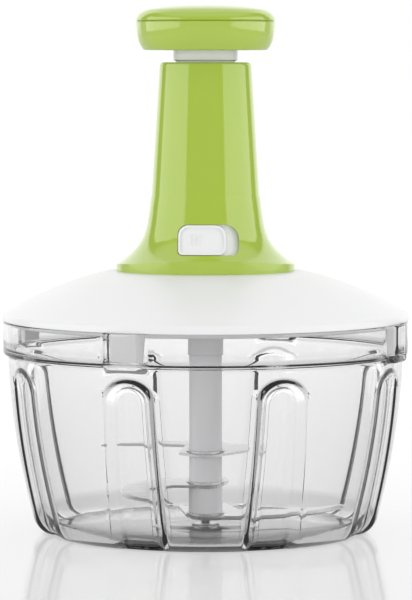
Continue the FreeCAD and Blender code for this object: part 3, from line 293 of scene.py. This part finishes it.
def piece(name, bm, look, node, round_mm=0.0):
    """Makes a bmesh a piece of the chopper that stands for a node of the frame."""
    mesh = bpy.data.meshes.new(name)
    bm.to_mesh(mesh)
    bm.free()
    mesh.shade_smooth()
    mesh.materials.append(look)
    made = bpy.data.objects.new(name, mesh)
    bpy.context.scene.collection.objects.link(made)
    if round_mm:
        soft = made.modifiers.new("rounded edges", "BEVEL")
        soft.width = round_mm * MM
        soft.segments = ROUND_STEPS
        soft.limit_method = "ANGLE"
        soft.angle_limit = SHARP
        soft.harden_normals = True
    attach(made, nodes[node]["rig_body"])
    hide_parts(node)
    print(f"{name}: {len(mesh.polygons)} faces, {made.dimensions.z / MM:.1f} mm high")
    return made


print(f"edges over {math.degrees(SHARP):.0f} degrees get {ROUND_STEPS} facets")

# %% [markdown]
# ## The knob
#
# The palm rests on two shells that meet in a fine groove. Each is a spun outline. The lower one
# swells out from a flat foot. The upper one has full shoulders and a low crown, and a ring under
# it that drops into the lower one. That ring is also the floor of the groove.

# %% Lower shell
KNOB_R = 31.0
KNOB_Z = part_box("knob_base")[0].z / MM
SEAM_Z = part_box("knob_base")[1].z / MM
CAP_Z = SEAM_Z + 0.5
CAP_TOP_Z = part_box("knob_cap")[1].z / MM
KNOB_WALL, KNOB_EDGE = 2.2, 0.3

lower_side = smooth_line((26.2, KNOB_Z), (27.2, KNOB_Z + 0.25), (27.9, KNOB_Z + 0.9),
                         (29.5, KNOB_Z + 3.8), (30.5, KNOB_Z + 7.7), (KNOB_R, SEAM_Z))
lower = [(0, KNOB_Z)] + lower_side + [
    (KNOB_R - KNOB_WALL, SEAM_Z), (26.6, KNOB_Z + KNOB_WALL), (0, KNOB_Z + KNOB_WALL)]
piece("knob_lower", spun(lower), green_gloss, "knob_base", KNOB_EDGE)

# %% [markdown]
# The upper shell is hollow as well. Its crown and its underside are two smooth lines, about as far
# apart as the lower shell's wall is thick.

# %% Upper shell
DROP_R, DROP_IN_R, DROP_H = 28.2, 26.2, 3.2     # the ring that drops into the lower shell
GROOVE_R = 30.3             # floor of the groove between the shells

crown = smooth_line((KNOB_R, CAP_Z), (30.55, CAP_Z + 1.5), (29.4, CAP_Z + 3.2), (26.8, CAP_Z + 4.9),
                    (19.5, CAP_Z + 6.5), (10, CAP_Z + 7.24), (0, CAP_TOP_Z))
under = smooth_line((0, CAP_TOP_Z - KNOB_WALL), (17.3, CAP_Z + 4.3), (24.6, CAP_Z + 2.7),
                    (DROP_IN_R, CAP_Z - 0.25))
upper = crown[::-1] + [
    (GROOVE_R, CAP_Z), (GROOVE_R, SEAM_Z + 0.02), (DROP_R, SEAM_Z + 0.02),
    (DROP_R, CAP_Z - DROP_H), (DROP_IN_R, CAP_Z - DROP_H)] + under[::-1]
piece("knob_upper", spun(upper), green_gloss, "knob_cap", KNOB_EDGE)

# %% [markdown]
# ## Pressed walls
#
# The bowl and the lid are round too, but flutes, pockets and lugs are pressed into them. A cut
# would leave ragged faces, and clear plastic shows every one. So these walls start as a flat grid
# of quads that is wrapped round the axis. Its lines are laid along the edges of what is pressed,
# close together where the wall bends, and the quads between them are then pushed in or out.
#
# The walls repeat eight times round. In one sector the lines number from -HALF to HALF. Those
# from -EDGE to EDGE belong to the pressed field, and the rest to the plain wall beside it.

# %% Lines of a sector
SECTORS = 8
EDGE = 12                   # lines from a field's middle to its edge
PLAIN = 10                  # lines from there to the middle of the plain wall
HALF = EDGE + PLAIN
HALF_SECTOR = math.pi / SECTORS
BEND_LINES = 8              # lines that share the slope at a field's edge
BEND_MM = 3.2               # how wide that slope is in a flute
FIELD_MM = 10.2             # half width of a flute at its shoulder


def inward(line, width=BEND_MM):
    """How far a line lies inside its field's edge, in mm: 0 at the edge, FIELD_MM in the middle."""
    rings = EDGE - abs(line)
    if rings <= BEND_LINES:
        return width * rings / BEND_LINES
    return width + (FIELD_MM - width) * (rings - BEND_LINES) / (EDGE - BEND_LINES)


def beside(line, edge):
    """Azimuth in the sector of a line of the plain wall, when the field's edge is at edge."""
    share = (abs(line) - EDGE) / PLAIN
    return math.copysign(edge + (HALF_SECTOR - edge) * share, line)


print("lines round a wrapped wall:", 2 * HALF * SECTORS)

# %% [markdown]
# Between the plain wall and the floor of a flute lies a slope. It is straight, with a round crease
# at its head and at its foot, because moulded plastic has no sharp ones.

# %% The slope at a field's edge
CREASE = 0.12               # share of the slope that each of its rounded creases takes


def bend(distance, width=BEND_MM):
    """0 at a field's edge and 1 past the slope: a straight ramp with a round crease at each end."""
    share = max(0.0, min(1.0, distance / width))
    near_end = min(share, 1 - share)
    if near_end < CREASE:
        climbed = near_end ** 2 / (2 * CREASE * (1 - CREASE))
    else:
        climbed = (near_end - CREASE / 2) / (1 - CREASE)
    return climbed if share <= 0.5 else 1 - climbed


print("depth down the slope:", [round(bend(BEND_MM * n / 4), 2) for n in range(5)])

# %% [markdown]
# The grid is made flat. Each of its points then asks a place function where it goes, by sector,
# line and row. The two sides of the sheet meet at the chopper's front and are merged there.

# %% Wrap a grid round the axis
SEAM_MM = 0.002             # how near the two sides of the wrapped sheet's seam lie


def mixed(a, b, share):
    """Number by number, the share of the way from a to b."""
    return [p + (q - p) * share for p, q in zip(a, b)]


def wrap(bm, rows, place):
    """Adds a sheet to bm. place(sector, line, row) gives azimuth, radius and height in mm."""
    columns = 2 * HALF * SECTORS
    grid = bmesh.ops.create_grid(bm, x_segments=columns, y_segments=rows, size=0.5)["verts"]
    for vertex in grid:
        column, row = round((vertex.co.x + 0.5) * columns), round((vertex.co.y + 0.5) * rows)
        sector, line = divmod(column, 2 * HALF)
        azimuth, radius, z = place(sector % SECTORS, line - HALF, row)
        azimuth += (2 * sector + 1) * HALF_SECTOR
        vertex.co = Vector((radius * math.sin(azimuth), -radius * math.cos(azimuth), z)) * MM


def closed(bm):
    """Merges the seam and the poles, and turns all faces outwards."""
    bmesh.ops.remove_doubles(bm, verts=bm.verts, dist=SEAM_MM * MM)
    bmesh.ops.dissolve_degenerate(bm, edges=bm.edges, dist=SAME_MM * MM)
    bmesh.ops.recalc_face_normals(bm, faces=bm.faces)
    return bm


print("half way from (0, 0) to (1, 4):", mixed((0, 0), (1, 4), 0.5))

# %% [markdown]
# ## The bowl
#
# The bowl is one clear moulding with a smoky tint. Eight flutes are pressed into its wall, round
# at the top and open at the foot. Its rim band stands proud and carries four pockets. One
# wrapped grid makes all of it: it starts under the floor, runs up the outside, over the rim and
# down the inside, and ends in the socket that holds the stem's pin.
#
# First the plain wall. From the heel it leans out to the foot of the rim band, and bows a little.

# %% The bowl's wall
HEEL_R, HEEL_Z = 76.4, 8.0
BAND_FOOT_R, BAND_Z = 87.2, 79.0
WALL_BULGE = 2.0


def wall_radius(z, inset=0.0):
    """The wall bows a little out of a straight cone."""
    share = (z - HEEL_Z) / (BAND_Z - HEEL_Z)
    return HEEL_R + (BAND_FOOT_R - HEEL_R + 4 * WALL_BULGE * (1 - share)) * share - inset


print("wall's radius every 20 mm:", [round(wall_radius(z), 1) for z in range(20, 80, 20)])

# %% [markdown]
# A flute is as wide as a thumb at its foot, a little narrower at its shoulder, and ends in a round
# arch. The lines of the grid run up its sides and fan out over the arch, so its edge never cuts
# across a quad. On the inside it has to be wider, or the wall would get thin on its slopes.

# %% Flutes
FLUTE_DEPTH, FLUTE_ARCH, SHOULDER_Z = 2.7, 9.0, 64.0
FLUTE_FOOT_MM = 12.2        # half width of a flute at its foot
WALL_ROWS = 28              # rows from the heel to the arch's top


def flute_place(line, row, low_z, grow, inset):
    """Azimuth, radius and height in a flute or beside it, from row 0, the heel, up to its arch."""
    half_w, arch, shoulder = FIELD_MM + grow, FLUTE_ARCH, SHOULDER_Z + grow
    foot_w = FLUTE_FOOT_MM + grow
    rings, deep = EDGE - abs(line), 0.0
    side_rows = WALL_ROWS - max(0, rings)
    if row <= side_rows:
        z = low_z + (shoulder - low_z) * row / side_rows
        radius = wall_radius(z, inset)
        edge = foot_w + (half_w - foot_w) * z / shoulder
        if rings < 0:
            azimuth = beside(line, math.asin(edge / radius))
        else:
            azimuth = math.asin(math.copysign(edge * (1 - inward(line) / FIELD_MM), line) / radius)
            deep = bend(inward(line))
    else:
        ring = WALL_ROWS - row
        turn = math.pi / 2 * line / (EDGE - ring)
        size = 1 - inward(EDGE - ring) / FIELD_MM
        z = shoulder + arch * size * math.cos(turn)
        radius = wall_radius(z, inset)
        azimuth = math.asin(half_w * size * math.sin(turn) / radius)
        deep = bend(inward(EDGE - ring))
    return azimuth, radius - FLUTE_DEPTH * deep, z


print("top of a flute's arch:", flute_place(0, WALL_ROWS, HEEL_Z, 0, 0)[2], "mm")

# %% [markdown]
# Over the arch the wall is plain again, and the rim band follows. In every second sector it swells
# out to a pocket, whose lower corners are round. Outside and inside are two skins that follow the
# same rows, so one function makes both. Each only brings its own outlines: the floor, the heel,
# the band, and the band where it is a pocket.

# %% One skin of the bowl
RIM_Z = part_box("bowl")[1].z / MM
POCKET_Z, POCKET_BEND = 77.5, 5.0
TOP_ROWS = 5                # rows from the arch's top to the foot of the pockets


def corner_lift(distance, corner):
    """How much a round lower corner lifts a pocket's bottom at a distance from its side."""
    short = max(0.0, corner - distance)
    return corner - math.sqrt(corner * corner - short * short)


def bowl_skin(low, heel, band, pocket, pocket_half, corner, grow, inset):
    """One skin's last row and its place function: floor, heel, fluted wall, then the rim band."""
    first_wall = len(low) + len(heel) - 1
    first_band = first_wall + WALL_ROWS + TOP_ROWS

    def place(sector, line, row):
        if row < first_wall:
            radius, z = (low + heel)[row]
            azimuth = flute_place(line, 0, heel[-1][1], grow, inset)[0]
            deep = bend(inward(line)) if abs(line) <= EDGE and row >= len(low) else 0.0
            return azimuth, radius - FLUTE_DEPTH * deep, z
        if row <= first_wall + WALL_ROWS:
            return flute_place(line, row - first_wall, heel[-1][1], grow, inset)
        if abs(line) <= EDGE:
            deep_in = inward(line, POCKET_BEND)
            azimuth = math.copysign(pocket_half * (1 - deep_in / FIELD_MM), line)
        else:
            azimuth = beside(line, pocket_half)
        if row < first_band:
            arch = flute_place(line, WALL_ROWS, heel[-1][1], grow, inset)
            share = (row - first_wall - WALL_ROWS) / TOP_ROWS
            azimuth, z = mixed((arch[0], arch[2]), (azimuth, POCKET_Z), share)
            return azimuth, wall_radius(z, inset), z
        out, lift = 0.0, 0.0
        if sector % 2 and abs(line) <= EDGE:
            out = bend(deep_in, POCKET_BEND)
            lift = out * corner_lift(deep_in, corner)
        radius, z = mixed(band[row - first_band], pocket[row - first_band], out)
        return azimuth, radius, z + lift * (RIM_Z - z) / (RIM_Z - POCKET_Z)

    return first_band + len(band) - 1, place


print(f"rim at {RIM_Z:.1f} mm, pockets from {POCKET_Z} mm up")

# %% [markdown]
# Both skins need two curves. At the top the rim's edge is rounded. At the bottom the heel is an
# arc that leaves the floor flat, so the bowl stands on all of its foot.

# %% Rim and heel
RIM_EDGE, RIM_SHY = 0.4, 0.05       # the rim's rounding, and how far it stays under the lid's edge
RIM_ROWS = 3                # rows from a band's foot to its rounded top
HEEL_STEPS = 12


def rim_run(radius, low, round_in):
    """Points up the rim band, with its top edge rounded in or out."""
    top = RIM_Z - RIM_SHY
    rise = (top - 3 * RIM_EDGE - low) / RIM_ROWS
    straight = [(radius, low + rise * n) for n in range(1, RIM_ROWS + 1)]
    return straight + [(radius, top - RIM_EDGE), (radius + 0.3 * round_in, top - 0.3 * RIM_EDGE),
                       (radius + round_in, top)]


def heel_round(foot, low, heel, high):
    """An arc that leaves the floor flat at radius foot and meets the wall at radius heel."""
    run, rise = heel - foot, high - low
    round_r = (run ** 2 + rise ** 2) / (2 * rise)
    turn = math.atan2(run, round_r - rise) / HEEL_STEPS
    return [(foot + round_r * math.sin(turn * n), low + round_r * (1 - math.cos(turn * n)))
            for n in range(HEEL_STEPS + 1)]


print("points in a rim:", len(rim_run(BAND_FOOT_R, BAND_Z, RIM_EDGE)))

# %% [markdown]
# The outer skin is what the mould's hollow half forms. The band stands out from the wall with a
# small step, and a pocket with a wider one, whose underside rounds up into the pocket's face.

# %% Outer skin
FOOT_R, BAND_R, POCKET_R = 67.9, 89.3, 91.9
POCKET_HALF = math.radians(7.1)
POCKET_CORNER = 4.5         # how far the round of a pocket's lower corner reaches

outer_heel = heel_round(FOOT_R, 0, HEEL_R, HEEL_Z)
outer_band = [(wall_radius(z), z) for z in (POCKET_Z, 78.0, 78.4, 78.8)] + [
    (BAND_FOOT_R + 0.3, BAND_Z), (BAND_R - 0.7, BAND_Z), (BAND_R - 0.2, BAND_Z + 0.2),
    (BAND_R, BAND_Z + 0.7)]
outer_pocket = [
    (wall_radius(POCKET_Z), POCKET_Z), (POCKET_R - 3.0, POCKET_Z),
    (POCKET_R - 1.3, POCKET_Z + 0.05), (POCKET_R - 0.7, POCKET_Z + 0.25),
    (POCKET_R - 0.25, POCKET_Z + 0.7), (POCKET_R - 0.05, POCKET_Z + 1.2),
    (POCKET_R, POCKET_Z + 1.7), (POCKET_R, POCKET_Z + 2.2)]
outer_band += rim_run(BAND_R, BAND_Z + 0.7, -RIM_EDGE)
outer_pocket += rim_run(POCKET_R, BAND_Z + 0.7, -RIM_EDGE)
outer_floor = [(0, 0), (20, 0), (42, 0), (60, 0), (FOOT_R - 0.4, 0)]
outer_last, outer_place = bowl_skin(outer_floor, outer_heel, outer_band, outer_pocket,
                                    POCKET_HALF, POCKET_CORNER, grow=0.0, inset=0.0)
print("rows up the outer skin:", outer_last)

# %% [markdown]
# The inner skin is what the mould's core forms. In the middle of the floor stands a low boss with
# the socket for the stem's pin. At the foot of the band the room inside widens with a small ledge,
# and clear plastic shows that as a dark line all round.

# %% Inner skin
WALL, FLOOR_T, POCKET_WALL = 2.4, 2.2, 1.8
PIN_ROOM_R, PIN_ROOM_Z, BOSS_R, BOSS_Z = 1.85, 0.9, 6.0, 3.2
FLUTE_GROW = 1.7            # how much wider a flute is inside, so the wall keeps its thickness
POCKET_SIDE = 0.6           # how much narrower a pocket is inside, at each side

inner_floor = [(0, PIN_ROOM_Z), (PIN_ROOM_R - 0.3, PIN_ROOM_Z), (PIN_ROOM_R, PIN_ROOM_Z + 0.3),
               (PIN_ROOM_R, BOSS_Z - 0.3), (PIN_ROOM_R + 0.3, BOSS_Z), (BOSS_R - 0.4, BOSS_Z),
               (BOSS_R, BOSS_Z - 0.3), (BOSS_R + 0.1, FLOOR_T + 0.2), (BOSS_R + 0.5, FLOOR_T),
               (22, FLOOR_T), (42, FLOOR_T), (57, FLOOR_T)]
inner_heel = heel_round(FOOT_R - WALL, FLOOR_T, HEEL_R - WALL + 0.2, HEEL_Z + WALL / 2)
ledge_z, wall_in_r = BAND_Z + WALL, BAND_FOOT_R - WALL
inner_band = [
    (wall_radius(POCKET_Z, WALL), POCKET_Z), (wall_in_r, BAND_Z + 0.9),
    (wall_in_r + 0.3, BAND_Z + 1.2), (BAND_FOOT_R - 0.9, BAND_Z + 1.3),
    (BAND_FOOT_R - 0.3, BAND_Z + 1.9), (BAND_FOOT_R, BAND_Z + 3.8)]
room_r, room_z = POCKET_R - POCKET_WALL, ledge_z - 0.6
inner_pocket = [
    (wall_radius(POCKET_Z, WALL), POCKET_Z), (wall_in_r, BAND_Z + 0.4), (wall_in_r, room_z - 0.4),
    (wall_in_r + 0.4, room_z), (room_r - 0.4, room_z), (room_r, room_z + 0.4)]
inner_band += rim_run(BAND_FOOT_R, BAND_Z + 3.8, RIM_EDGE)
inner_pocket += rim_run(room_r, ledge_z + 0.4, RIM_EDGE)
inner_half = POCKET_HALF - POCKET_SIDE / BAND_R
inner_last, inner_place = bowl_skin(inner_floor, inner_heel, inner_band, inner_pocket,
                                    inner_half, POCKET_CORNER - POCKET_WALL,
                                    grow=FLUTE_GROW, inset=WALL)
print("rows up the inner skin:", inner_last)

# %% [markdown]
# Now both skins go into one grid, which carries on over the rim and closes at its two poles on the
# axis. The bowl casts no shadow: light falls through a clear wall, also onto the table.

# %% Model the bowl
def bowl_place(sector, line, row):
    """Up the outer skin, over the rim and down the inner skin."""
    if row <= outer_last:
        return outer_place(sector, line, row)
    return inner_place(sector, line, outer_last + 1 + inner_last - row)


bowl_bm = bmesh.new()
wrap(bowl_bm, outer_last + inner_last + 1, bowl_place)
bowl = piece("clear_bowl", closed(bowl_bm), clear_smoke, "bowl")
bowl.visible_shadow = False

# %% [markdown]
# ## The lid
#
# One white moulding: a dome with a flat seat for the column, a rounded edge over the bowl's rim,
# and a short ring that centres it inside the rim. Four lugs hang from the ring, fit the bowl's
# pockets and keep the lid from turning. The lid is a wrapped grid too: where a lug hangs, the
# rows of the ring are mixed with the rows of a lug, down and outwards.

# %% The lid's outline
SEAT_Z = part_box("handle_column")[0].z / MM
LID_WALL, LID_R, LID_HOLE_R = 2.2, 89.8, 14.5
RING_R, RING_T, RING_Z = 86.9, 2.0, RIM_Z - 1.8
LUG_R, LUG_IN_R, LUG_Z = 89.4, RING_R - 1.0, RIM_Z - 12.4

# from the ring's foot outwards, over the dome to the hole, and back underneath
ring_rows = [(LUG_IN_R + 0.1 * n, RING_Z) for n in range(7)] + [
    (RING_R, RING_Z + 0.3), (RING_R, RIM_Z - 0.9), (RING_R, RIM_Z - 0.4)]
lug_rows = [(LUG_IN_R, RING_Z), (LUG_IN_R, LUG_Z + 0.5), (LUG_IN_R + 0.15, LUG_Z + 0.15),
            (LUG_IN_R + 0.5, LUG_Z), (LUG_R - 0.5, LUG_Z), (LUG_R - 0.15, LUG_Z + 0.15),
            (LUG_R, LUG_Z + 0.5), (LUG_R, RIM_Z - 5.0), (LUG_R, RIM_Z - 1.5),
            (LUG_R, RIM_Z - 0.4)]
outer_edge = [(RING_R + 0.3, RIM_Z), (LID_R - 0.3, RIM_Z)] + smooth_line(
    (LID_R, RIM_Z + 0.3), (LID_R - 0.2, RIM_Z + 1.6), (LID_R - 0.95, RIM_Z + 3.2),
    (LID_R - 3.5, RIM_Z + 4.6))
dome = smooth_line((LID_R - 3.5, RIM_Z + 4.6), (77.0, RIM_Z + 9.6), (66.0, RIM_Z + 14.4),
                   (54.0, RIM_Z + 18.6), (43.2, SEAT_Z - 0.1))
seat = [(42.4, SEAT_Z), (30.0, SEAT_Z), (LID_HOLE_R + 0.3, SEAT_Z), (LID_HOLE_R, SEAT_Z - 0.3),
        (LID_HOLE_R, SEAT_Z - LID_WALL + 0.3), (LID_HOLE_R + 0.3, SEAT_Z - LID_WALL)]
hollow = [(r - 1.0, z - LID_WALL) for r, z in dome[::-1]]
hollow[-1] = (RING_R - RING_T, RIM_Z + 2.4)
inner_ring = [(RING_R - RING_T, RIM_Z), (RING_R - RING_T, RING_Z + 0.3),
              (RING_R - RING_T + 0.3, RING_Z)]
plain_lid = ring_rows + outer_edge + dome[1:] + seat + hollow + inner_ring
lugged_lid = lug_rows + plain_lid[len(lug_rows):]
print("rows once round the lid's wall:", len(plain_lid))

# %% [markdown]
# A lug's side is steep: one millimetre is enough to come down from the ring to the lug's full
# length. Its outer face swells over four millimetres, so it finds its way into the pocket.

# %% Model the lid
LUG_HALF, LUG_BEND, LUG_SIDE = math.radians(5.4), 4.0, 1.0


def lid_place(sector, line, row):
    """A lug hangs down over LUG_SIDE at its side, and swells outwards over LUG_BEND."""
    radius, z = plain_lid[row % len(plain_lid)]
    if abs(line) > EDGE:
        return beside(line, LUG_HALF), radius, z
    into = inward(line, LUG_BEND)
    if sector % 2:
        lug_radius, lug_z = lugged_lid[row % len(plain_lid)]
        radius += (lug_radius - radius) * bend(into, LUG_BEND)
        z += (lug_z - z) * bend(into, LUG_SIDE)
    return math.copysign(LUG_HALF * (1 - into / FIELD_MM), line), radius, z


lid_bm = bmesh.new()
wrap(lid_bm, len(plain_lid), lid_place)
piece("domed_lid", closed(lid_bm), white_satin, "lid")

# %% [markdown]
# ## The stem
#
# The blades sit between plain sleeves on one shaft. Each sleeve is a spun ring, with its edges
# rounded just enough to show where one ends and the next begins.

# %% Sleeves
SHAFT_BORE_R, SLEEVE_EDGE = 5.05, 0.25


def sleeve(name, node):
    """A spun ring as wide and as high as its node, with the shaft's bore."""
    low, high = (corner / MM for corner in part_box(node))
    wall = [(SHAFT_BORE_R, low.z), (high.x, low.z), (high.x, high.z), (SHAFT_BORE_R, high.z)]
    piece(name, spun(wall), stem_grey, node, SLEEVE_EDGE)


sleeve("sleeve_long", "stem_sleeve")
sleeve("sleeve_middle", "spacer_upper")
sleeve("sleeve_low", "spacer_lower")

# %% [markdown]
# ## The table, the light and the camera
#
# The chopper stands on a white table that shines a little. Gloss and clear plastic show the room
# more than themselves, so the room is built for them: a bright wall behind, dimmer sides that
# draw dark lines along the edges of the clear bowl, and two wide soft boxes whose reflections
# run down the column. The table glows faintly, so that it fades into the white behind it.

# %% Table
TABLE_HALF_M, TABLE_DROP = 8.0, 0.3         # it lies a hair below the foot, in mm


def flat_sheet(name, bm, look, drop):
    """A flat sheet with one finish, drop mm below the chopper's foot."""
    mesh = bpy.data.meshes.new(name)
    bm.to_mesh(mesh)
    bm.free()
    mesh.materials.append(look)
    made = bpy.data.objects.new(name, mesh)
    bpy.context.scene.collection.objects.link(made)
    made.location.z = -drop * MM
    print("stage:", name)
    return made


table_white = finish("table_white", Base_Color=(0.28, 0.28, 0.28, 1), Specular_IOR_Level=0.02,
                     Emission_Color=(1, 1, 1, 1), Emission_Strength=0.42)
vary(table_white, "Roughness", noise(table_white, 60), 0.08, 0.10)
table_bm = bmesh.new()
bmesh.ops.create_grid(table_bm, x_segments=1, y_segments=1, size=TABLE_HALF_M)
table = flat_sheet("table", table_bm, table_white, TABLE_DROP)

# %% [markdown]
# Under the bowl the table lies in the bowl's own shade. A flat dark disc stands in for that shade.
# It is a little wider than the bowl's foot, and shows only through the clear floor.

# %% Shade under the foot
SHADE_OVER, SHADE_DROP = 2.0, 0.15
shade_dark = finish("foot_shade", Base_Color=(0.02, 0.02, 0.02, 1), Roughness=0.9,
                    Emission_Color=(1, 1, 1, 1), Emission_Strength=0.05)
shade_bm = bmesh.new()
bmesh.ops.create_circle(shade_bm, cap_ends=True, radius=(FOOT_R + SHADE_OVER) * MM, segments=96)
shade = flat_sheet("foot_shade", shade_bm, shade_dark, SHADE_DROP)
shade.visible_camera = shade.visible_diffuse = shade.visible_shadow = False

# %% [markdown]
# The room is a world shader, because a world needs no mesh and lights from every side at once. It
# is built from maths nodes, so two small helpers add one node each.

# %% Helpers for the room's shader
room = bpy.data.worlds.new("room")
bpy.context.scene.world = room
room.use_nodes = True
tree = room.node_tree
background = tree.nodes["Background"]
background.inputs["Color"].default_value = (1, 1, 1, 1)


def world_math(operation, first, second):
    """A maths node of the room's shader; inputs are sockets or numbers."""
    made = tree.nodes.new("ShaderNodeMath")
    made.operation = operation
    for socket, value in zip(made.inputs, (first, second)):
        if isinstance(value, (int, float)):
            socket.default_value = value
        else:
            tree.links.new(value, socket)
    return made.outputs[0]


def ramp(factor, start, end, low, high):
    """A soft step from low to high while the factor goes from start to end."""
    span = tree.nodes.new("ShaderNodeMapRange")
    span.interpolation_type = "SMOOTHSTEP"
    for name, value in (("From Min", start), ("From Max", end), ("To Min", low), ("To Max", high)):
        span.inputs[name].default_value = value
    tree.links.new(factor, span.inputs["Value"])
    return span.outputs["Result"]


print("nodes in the room's shader:", len(tree.nodes))

# %% [markdown]
# A direction's share along +Y, taken level, tells the back wall from the sides and the front: it
# is 1 straight back, 0 at the sides and -1 towards the camera.

# %% Which way a ray looks
LEAST_LEVEL = 0.01                  # keeps that share finite straight overhead

way = tree.nodes.new("ShaderNodeSeparateXYZ")
tree.links.new(tree.nodes.new("ShaderNodeTexCoord").outputs["Generated"], way.inputs["Vector"])
steep = world_math("POWER", way.outputs["Z"], 2.0)
level = world_math("POWER", world_math("SUBTRACT", 1.0, steep), 0.5)
backward = world_math("DIVIDE", way.outputs["Y"], world_math("MAXIMUM", level, LEAST_LEVEL))
print("nodes in the room's shader:", len(tree.nodes))

# %% [markdown]
# What the camera sees behind the chopper is white. In a reflection the wall is brighter still, and
# the sides are dim. Light that the clear plastic has bent meets a narrower wall, a little dimmer
# above the table. So wherever the bowl's edges bend it far they draw dark lines, as a glass does
# in a studio where black cards stand beside it. A bright ceiling lights everything from above.

# %% Wall, sides and ceiling
BACK_WHITE, ROOM_GREY, CEILING = 1.0, 0.32, 0.9
BACK_SHINE = 0.35                   # how much brighter the wall is in a reflection
ROOM_DIM = 0.10                     # the sides as gloss and clear plastic see them
BACK_FROM, BACK_TO = 0.62, 0.74     # how far a direction points back where the wall begins
BENT_FROM, BENT_TO = 0.80, 0.93     # the same for light that clear plastic has bent
HIGH_DIM, HIGH_TO = 0.82, 0.06      # how dim that wall is above the table, and from what rise
CEILING_FROM, CEILING_TO = 0.6, 0.8     # how far a direction points up where the ceiling begins

path = tree.nodes.new("ShaderNodeLightPath")
seen, mirrored, bent = (path.outputs[f"Is {kind} Ray"]
                        for kind in ("Camera", "Glossy", "Transmission"))
white = world_math("ADD", world_math("MULTIPLY", mirrored, BACK_SHINE), BACK_WHITE)
dimming = world_math("MULTIPLY", world_math("MAXIMUM", mirrored, bent), ROOM_GREY - ROOM_DIM)
sides = world_math("SUBTRACT", ROOM_GREY, dimming)
narrow = world_math("MULTIPLY", ramp(backward, BENT_FROM, BENT_TO, 0.0, 1.0),
                    ramp(way.outputs["Z"], 0.0, HIGH_TO, 1.0, HIGH_DIM))
width = world_math("MAXIMUM", narrow, world_math("SUBTRACT", 1.0, bent))
share = world_math("MULTIPLY", ramp(backward, BACK_FROM, BACK_TO, 0.0, 1.0), width)
wall = world_math("MULTIPLY", share, world_math("SUBTRACT", white, sides))
overhead = ramp(way.outputs["Z"], CEILING_FROM, CEILING_TO, 0.0, CEILING)
light = world_math("MAXIMUM", world_math("ADD", wall, sides), overhead)
tree.links.new(world_math("MAXIMUM", seen, light), background.inputs["Strength"])
print("nodes in the room's shader:", len(tree.nodes))

# %% [markdown]
# Two wide soft boxes stand at the sides, and the column and the knob mirror them as pale stripes.
# A third lamp fills the front. It lights the lid and the blades but isn't mirrored. None of the
# three is seen through the clear bowl, which would bend a bare lamp into a white patch.

# %% Soft boxes
SIDE_AZIMUTH, SIDE_AWAY, SIDE_LOW, SIDE_RADIANCE = 78, 0.9, 0.06, 1.55
SIDE_SIZE = (1.30, 0.75)
FILL_AWAY, FILL_LOW, FILL_RADIANCE = 1.2, 0.02, 3.3
FILL_SIZE = (1.2, 0.4)


def soft_box(name, azimuth, away, low, size, radiance):
    """A bright panel that faces the axis. Azimuth counts from the front; radiance 1 is white."""
    lamp = bpy.data.lights.new(name, "AREA")
    lamp.shape = "RECTANGLE"
    lamp.size, lamp.size_y = size
    lamp.energy = radiance * math.pi * size[0] * size[1]
    box = bpy.data.objects.new(name, lamp)
    bpy.context.scene.collection.objects.link(box)
    turn = math.radians(azimuth)
    middle = Vector((away * math.sin(turn), -away * math.cos(turn), low + size[1] / 2))
    box.location = middle
    box.rotation_euler = (Vector((0, 0, middle.z)) - middle).to_track_quat("-Z", "Y").to_euler()
    box.visible_transmission = False
    print(f"{name}: {lamp.energy:.2f} W")
    return box


soft_box("left_box", -SIDE_AZIMUTH, SIDE_AWAY, SIDE_LOW, SIDE_SIZE, SIDE_RADIANCE)
soft_box("right_box", SIDE_AZIMUTH, SIDE_AWAY, SIDE_LOW, SIDE_SIZE, SIDE_RADIANCE)
front_fill = soft_box("front_fill", 0, FILL_AWAY, FILL_LOW, FILL_SIZE, FILL_RADIANCE)
front_fill.visible_glossy = False

# %% [markdown]
# The camera stands a metre and a half away at the height of the column's mouth. From there a long
# lens shows hardly any perspective, as is usual for a product picture. The Standard view keeps
# the green as saturated as it is, where a filmic view would grey it.

# %% Camera
CAMERA_AWAY, CAMERA_Z, AIM = 1.467, 0.2068, Vector((0.0002, 0, 0.102))
LENS_MM, SENSOR_MM = 200, 36
camera = bpy.data.objects.new("camera", bpy.data.cameras.new("camera"))
camera.location = (AIM.x, -CAMERA_AWAY, CAMERA_Z)
camera.rotation_euler = (AIM - camera.location).to_track_quat("-Z", "Y").to_euler()
camera.data.lens = LENS_MM
camera.data.sensor_width = SENSOR_MM
bpy.context.scene.collection.objects.link(camera)
bpy.context.scene.camera = camera
bpy.context.scene.view_settings.view_transform = "Standard"
print("camera at", [round(c, 3) for c in camera.location])
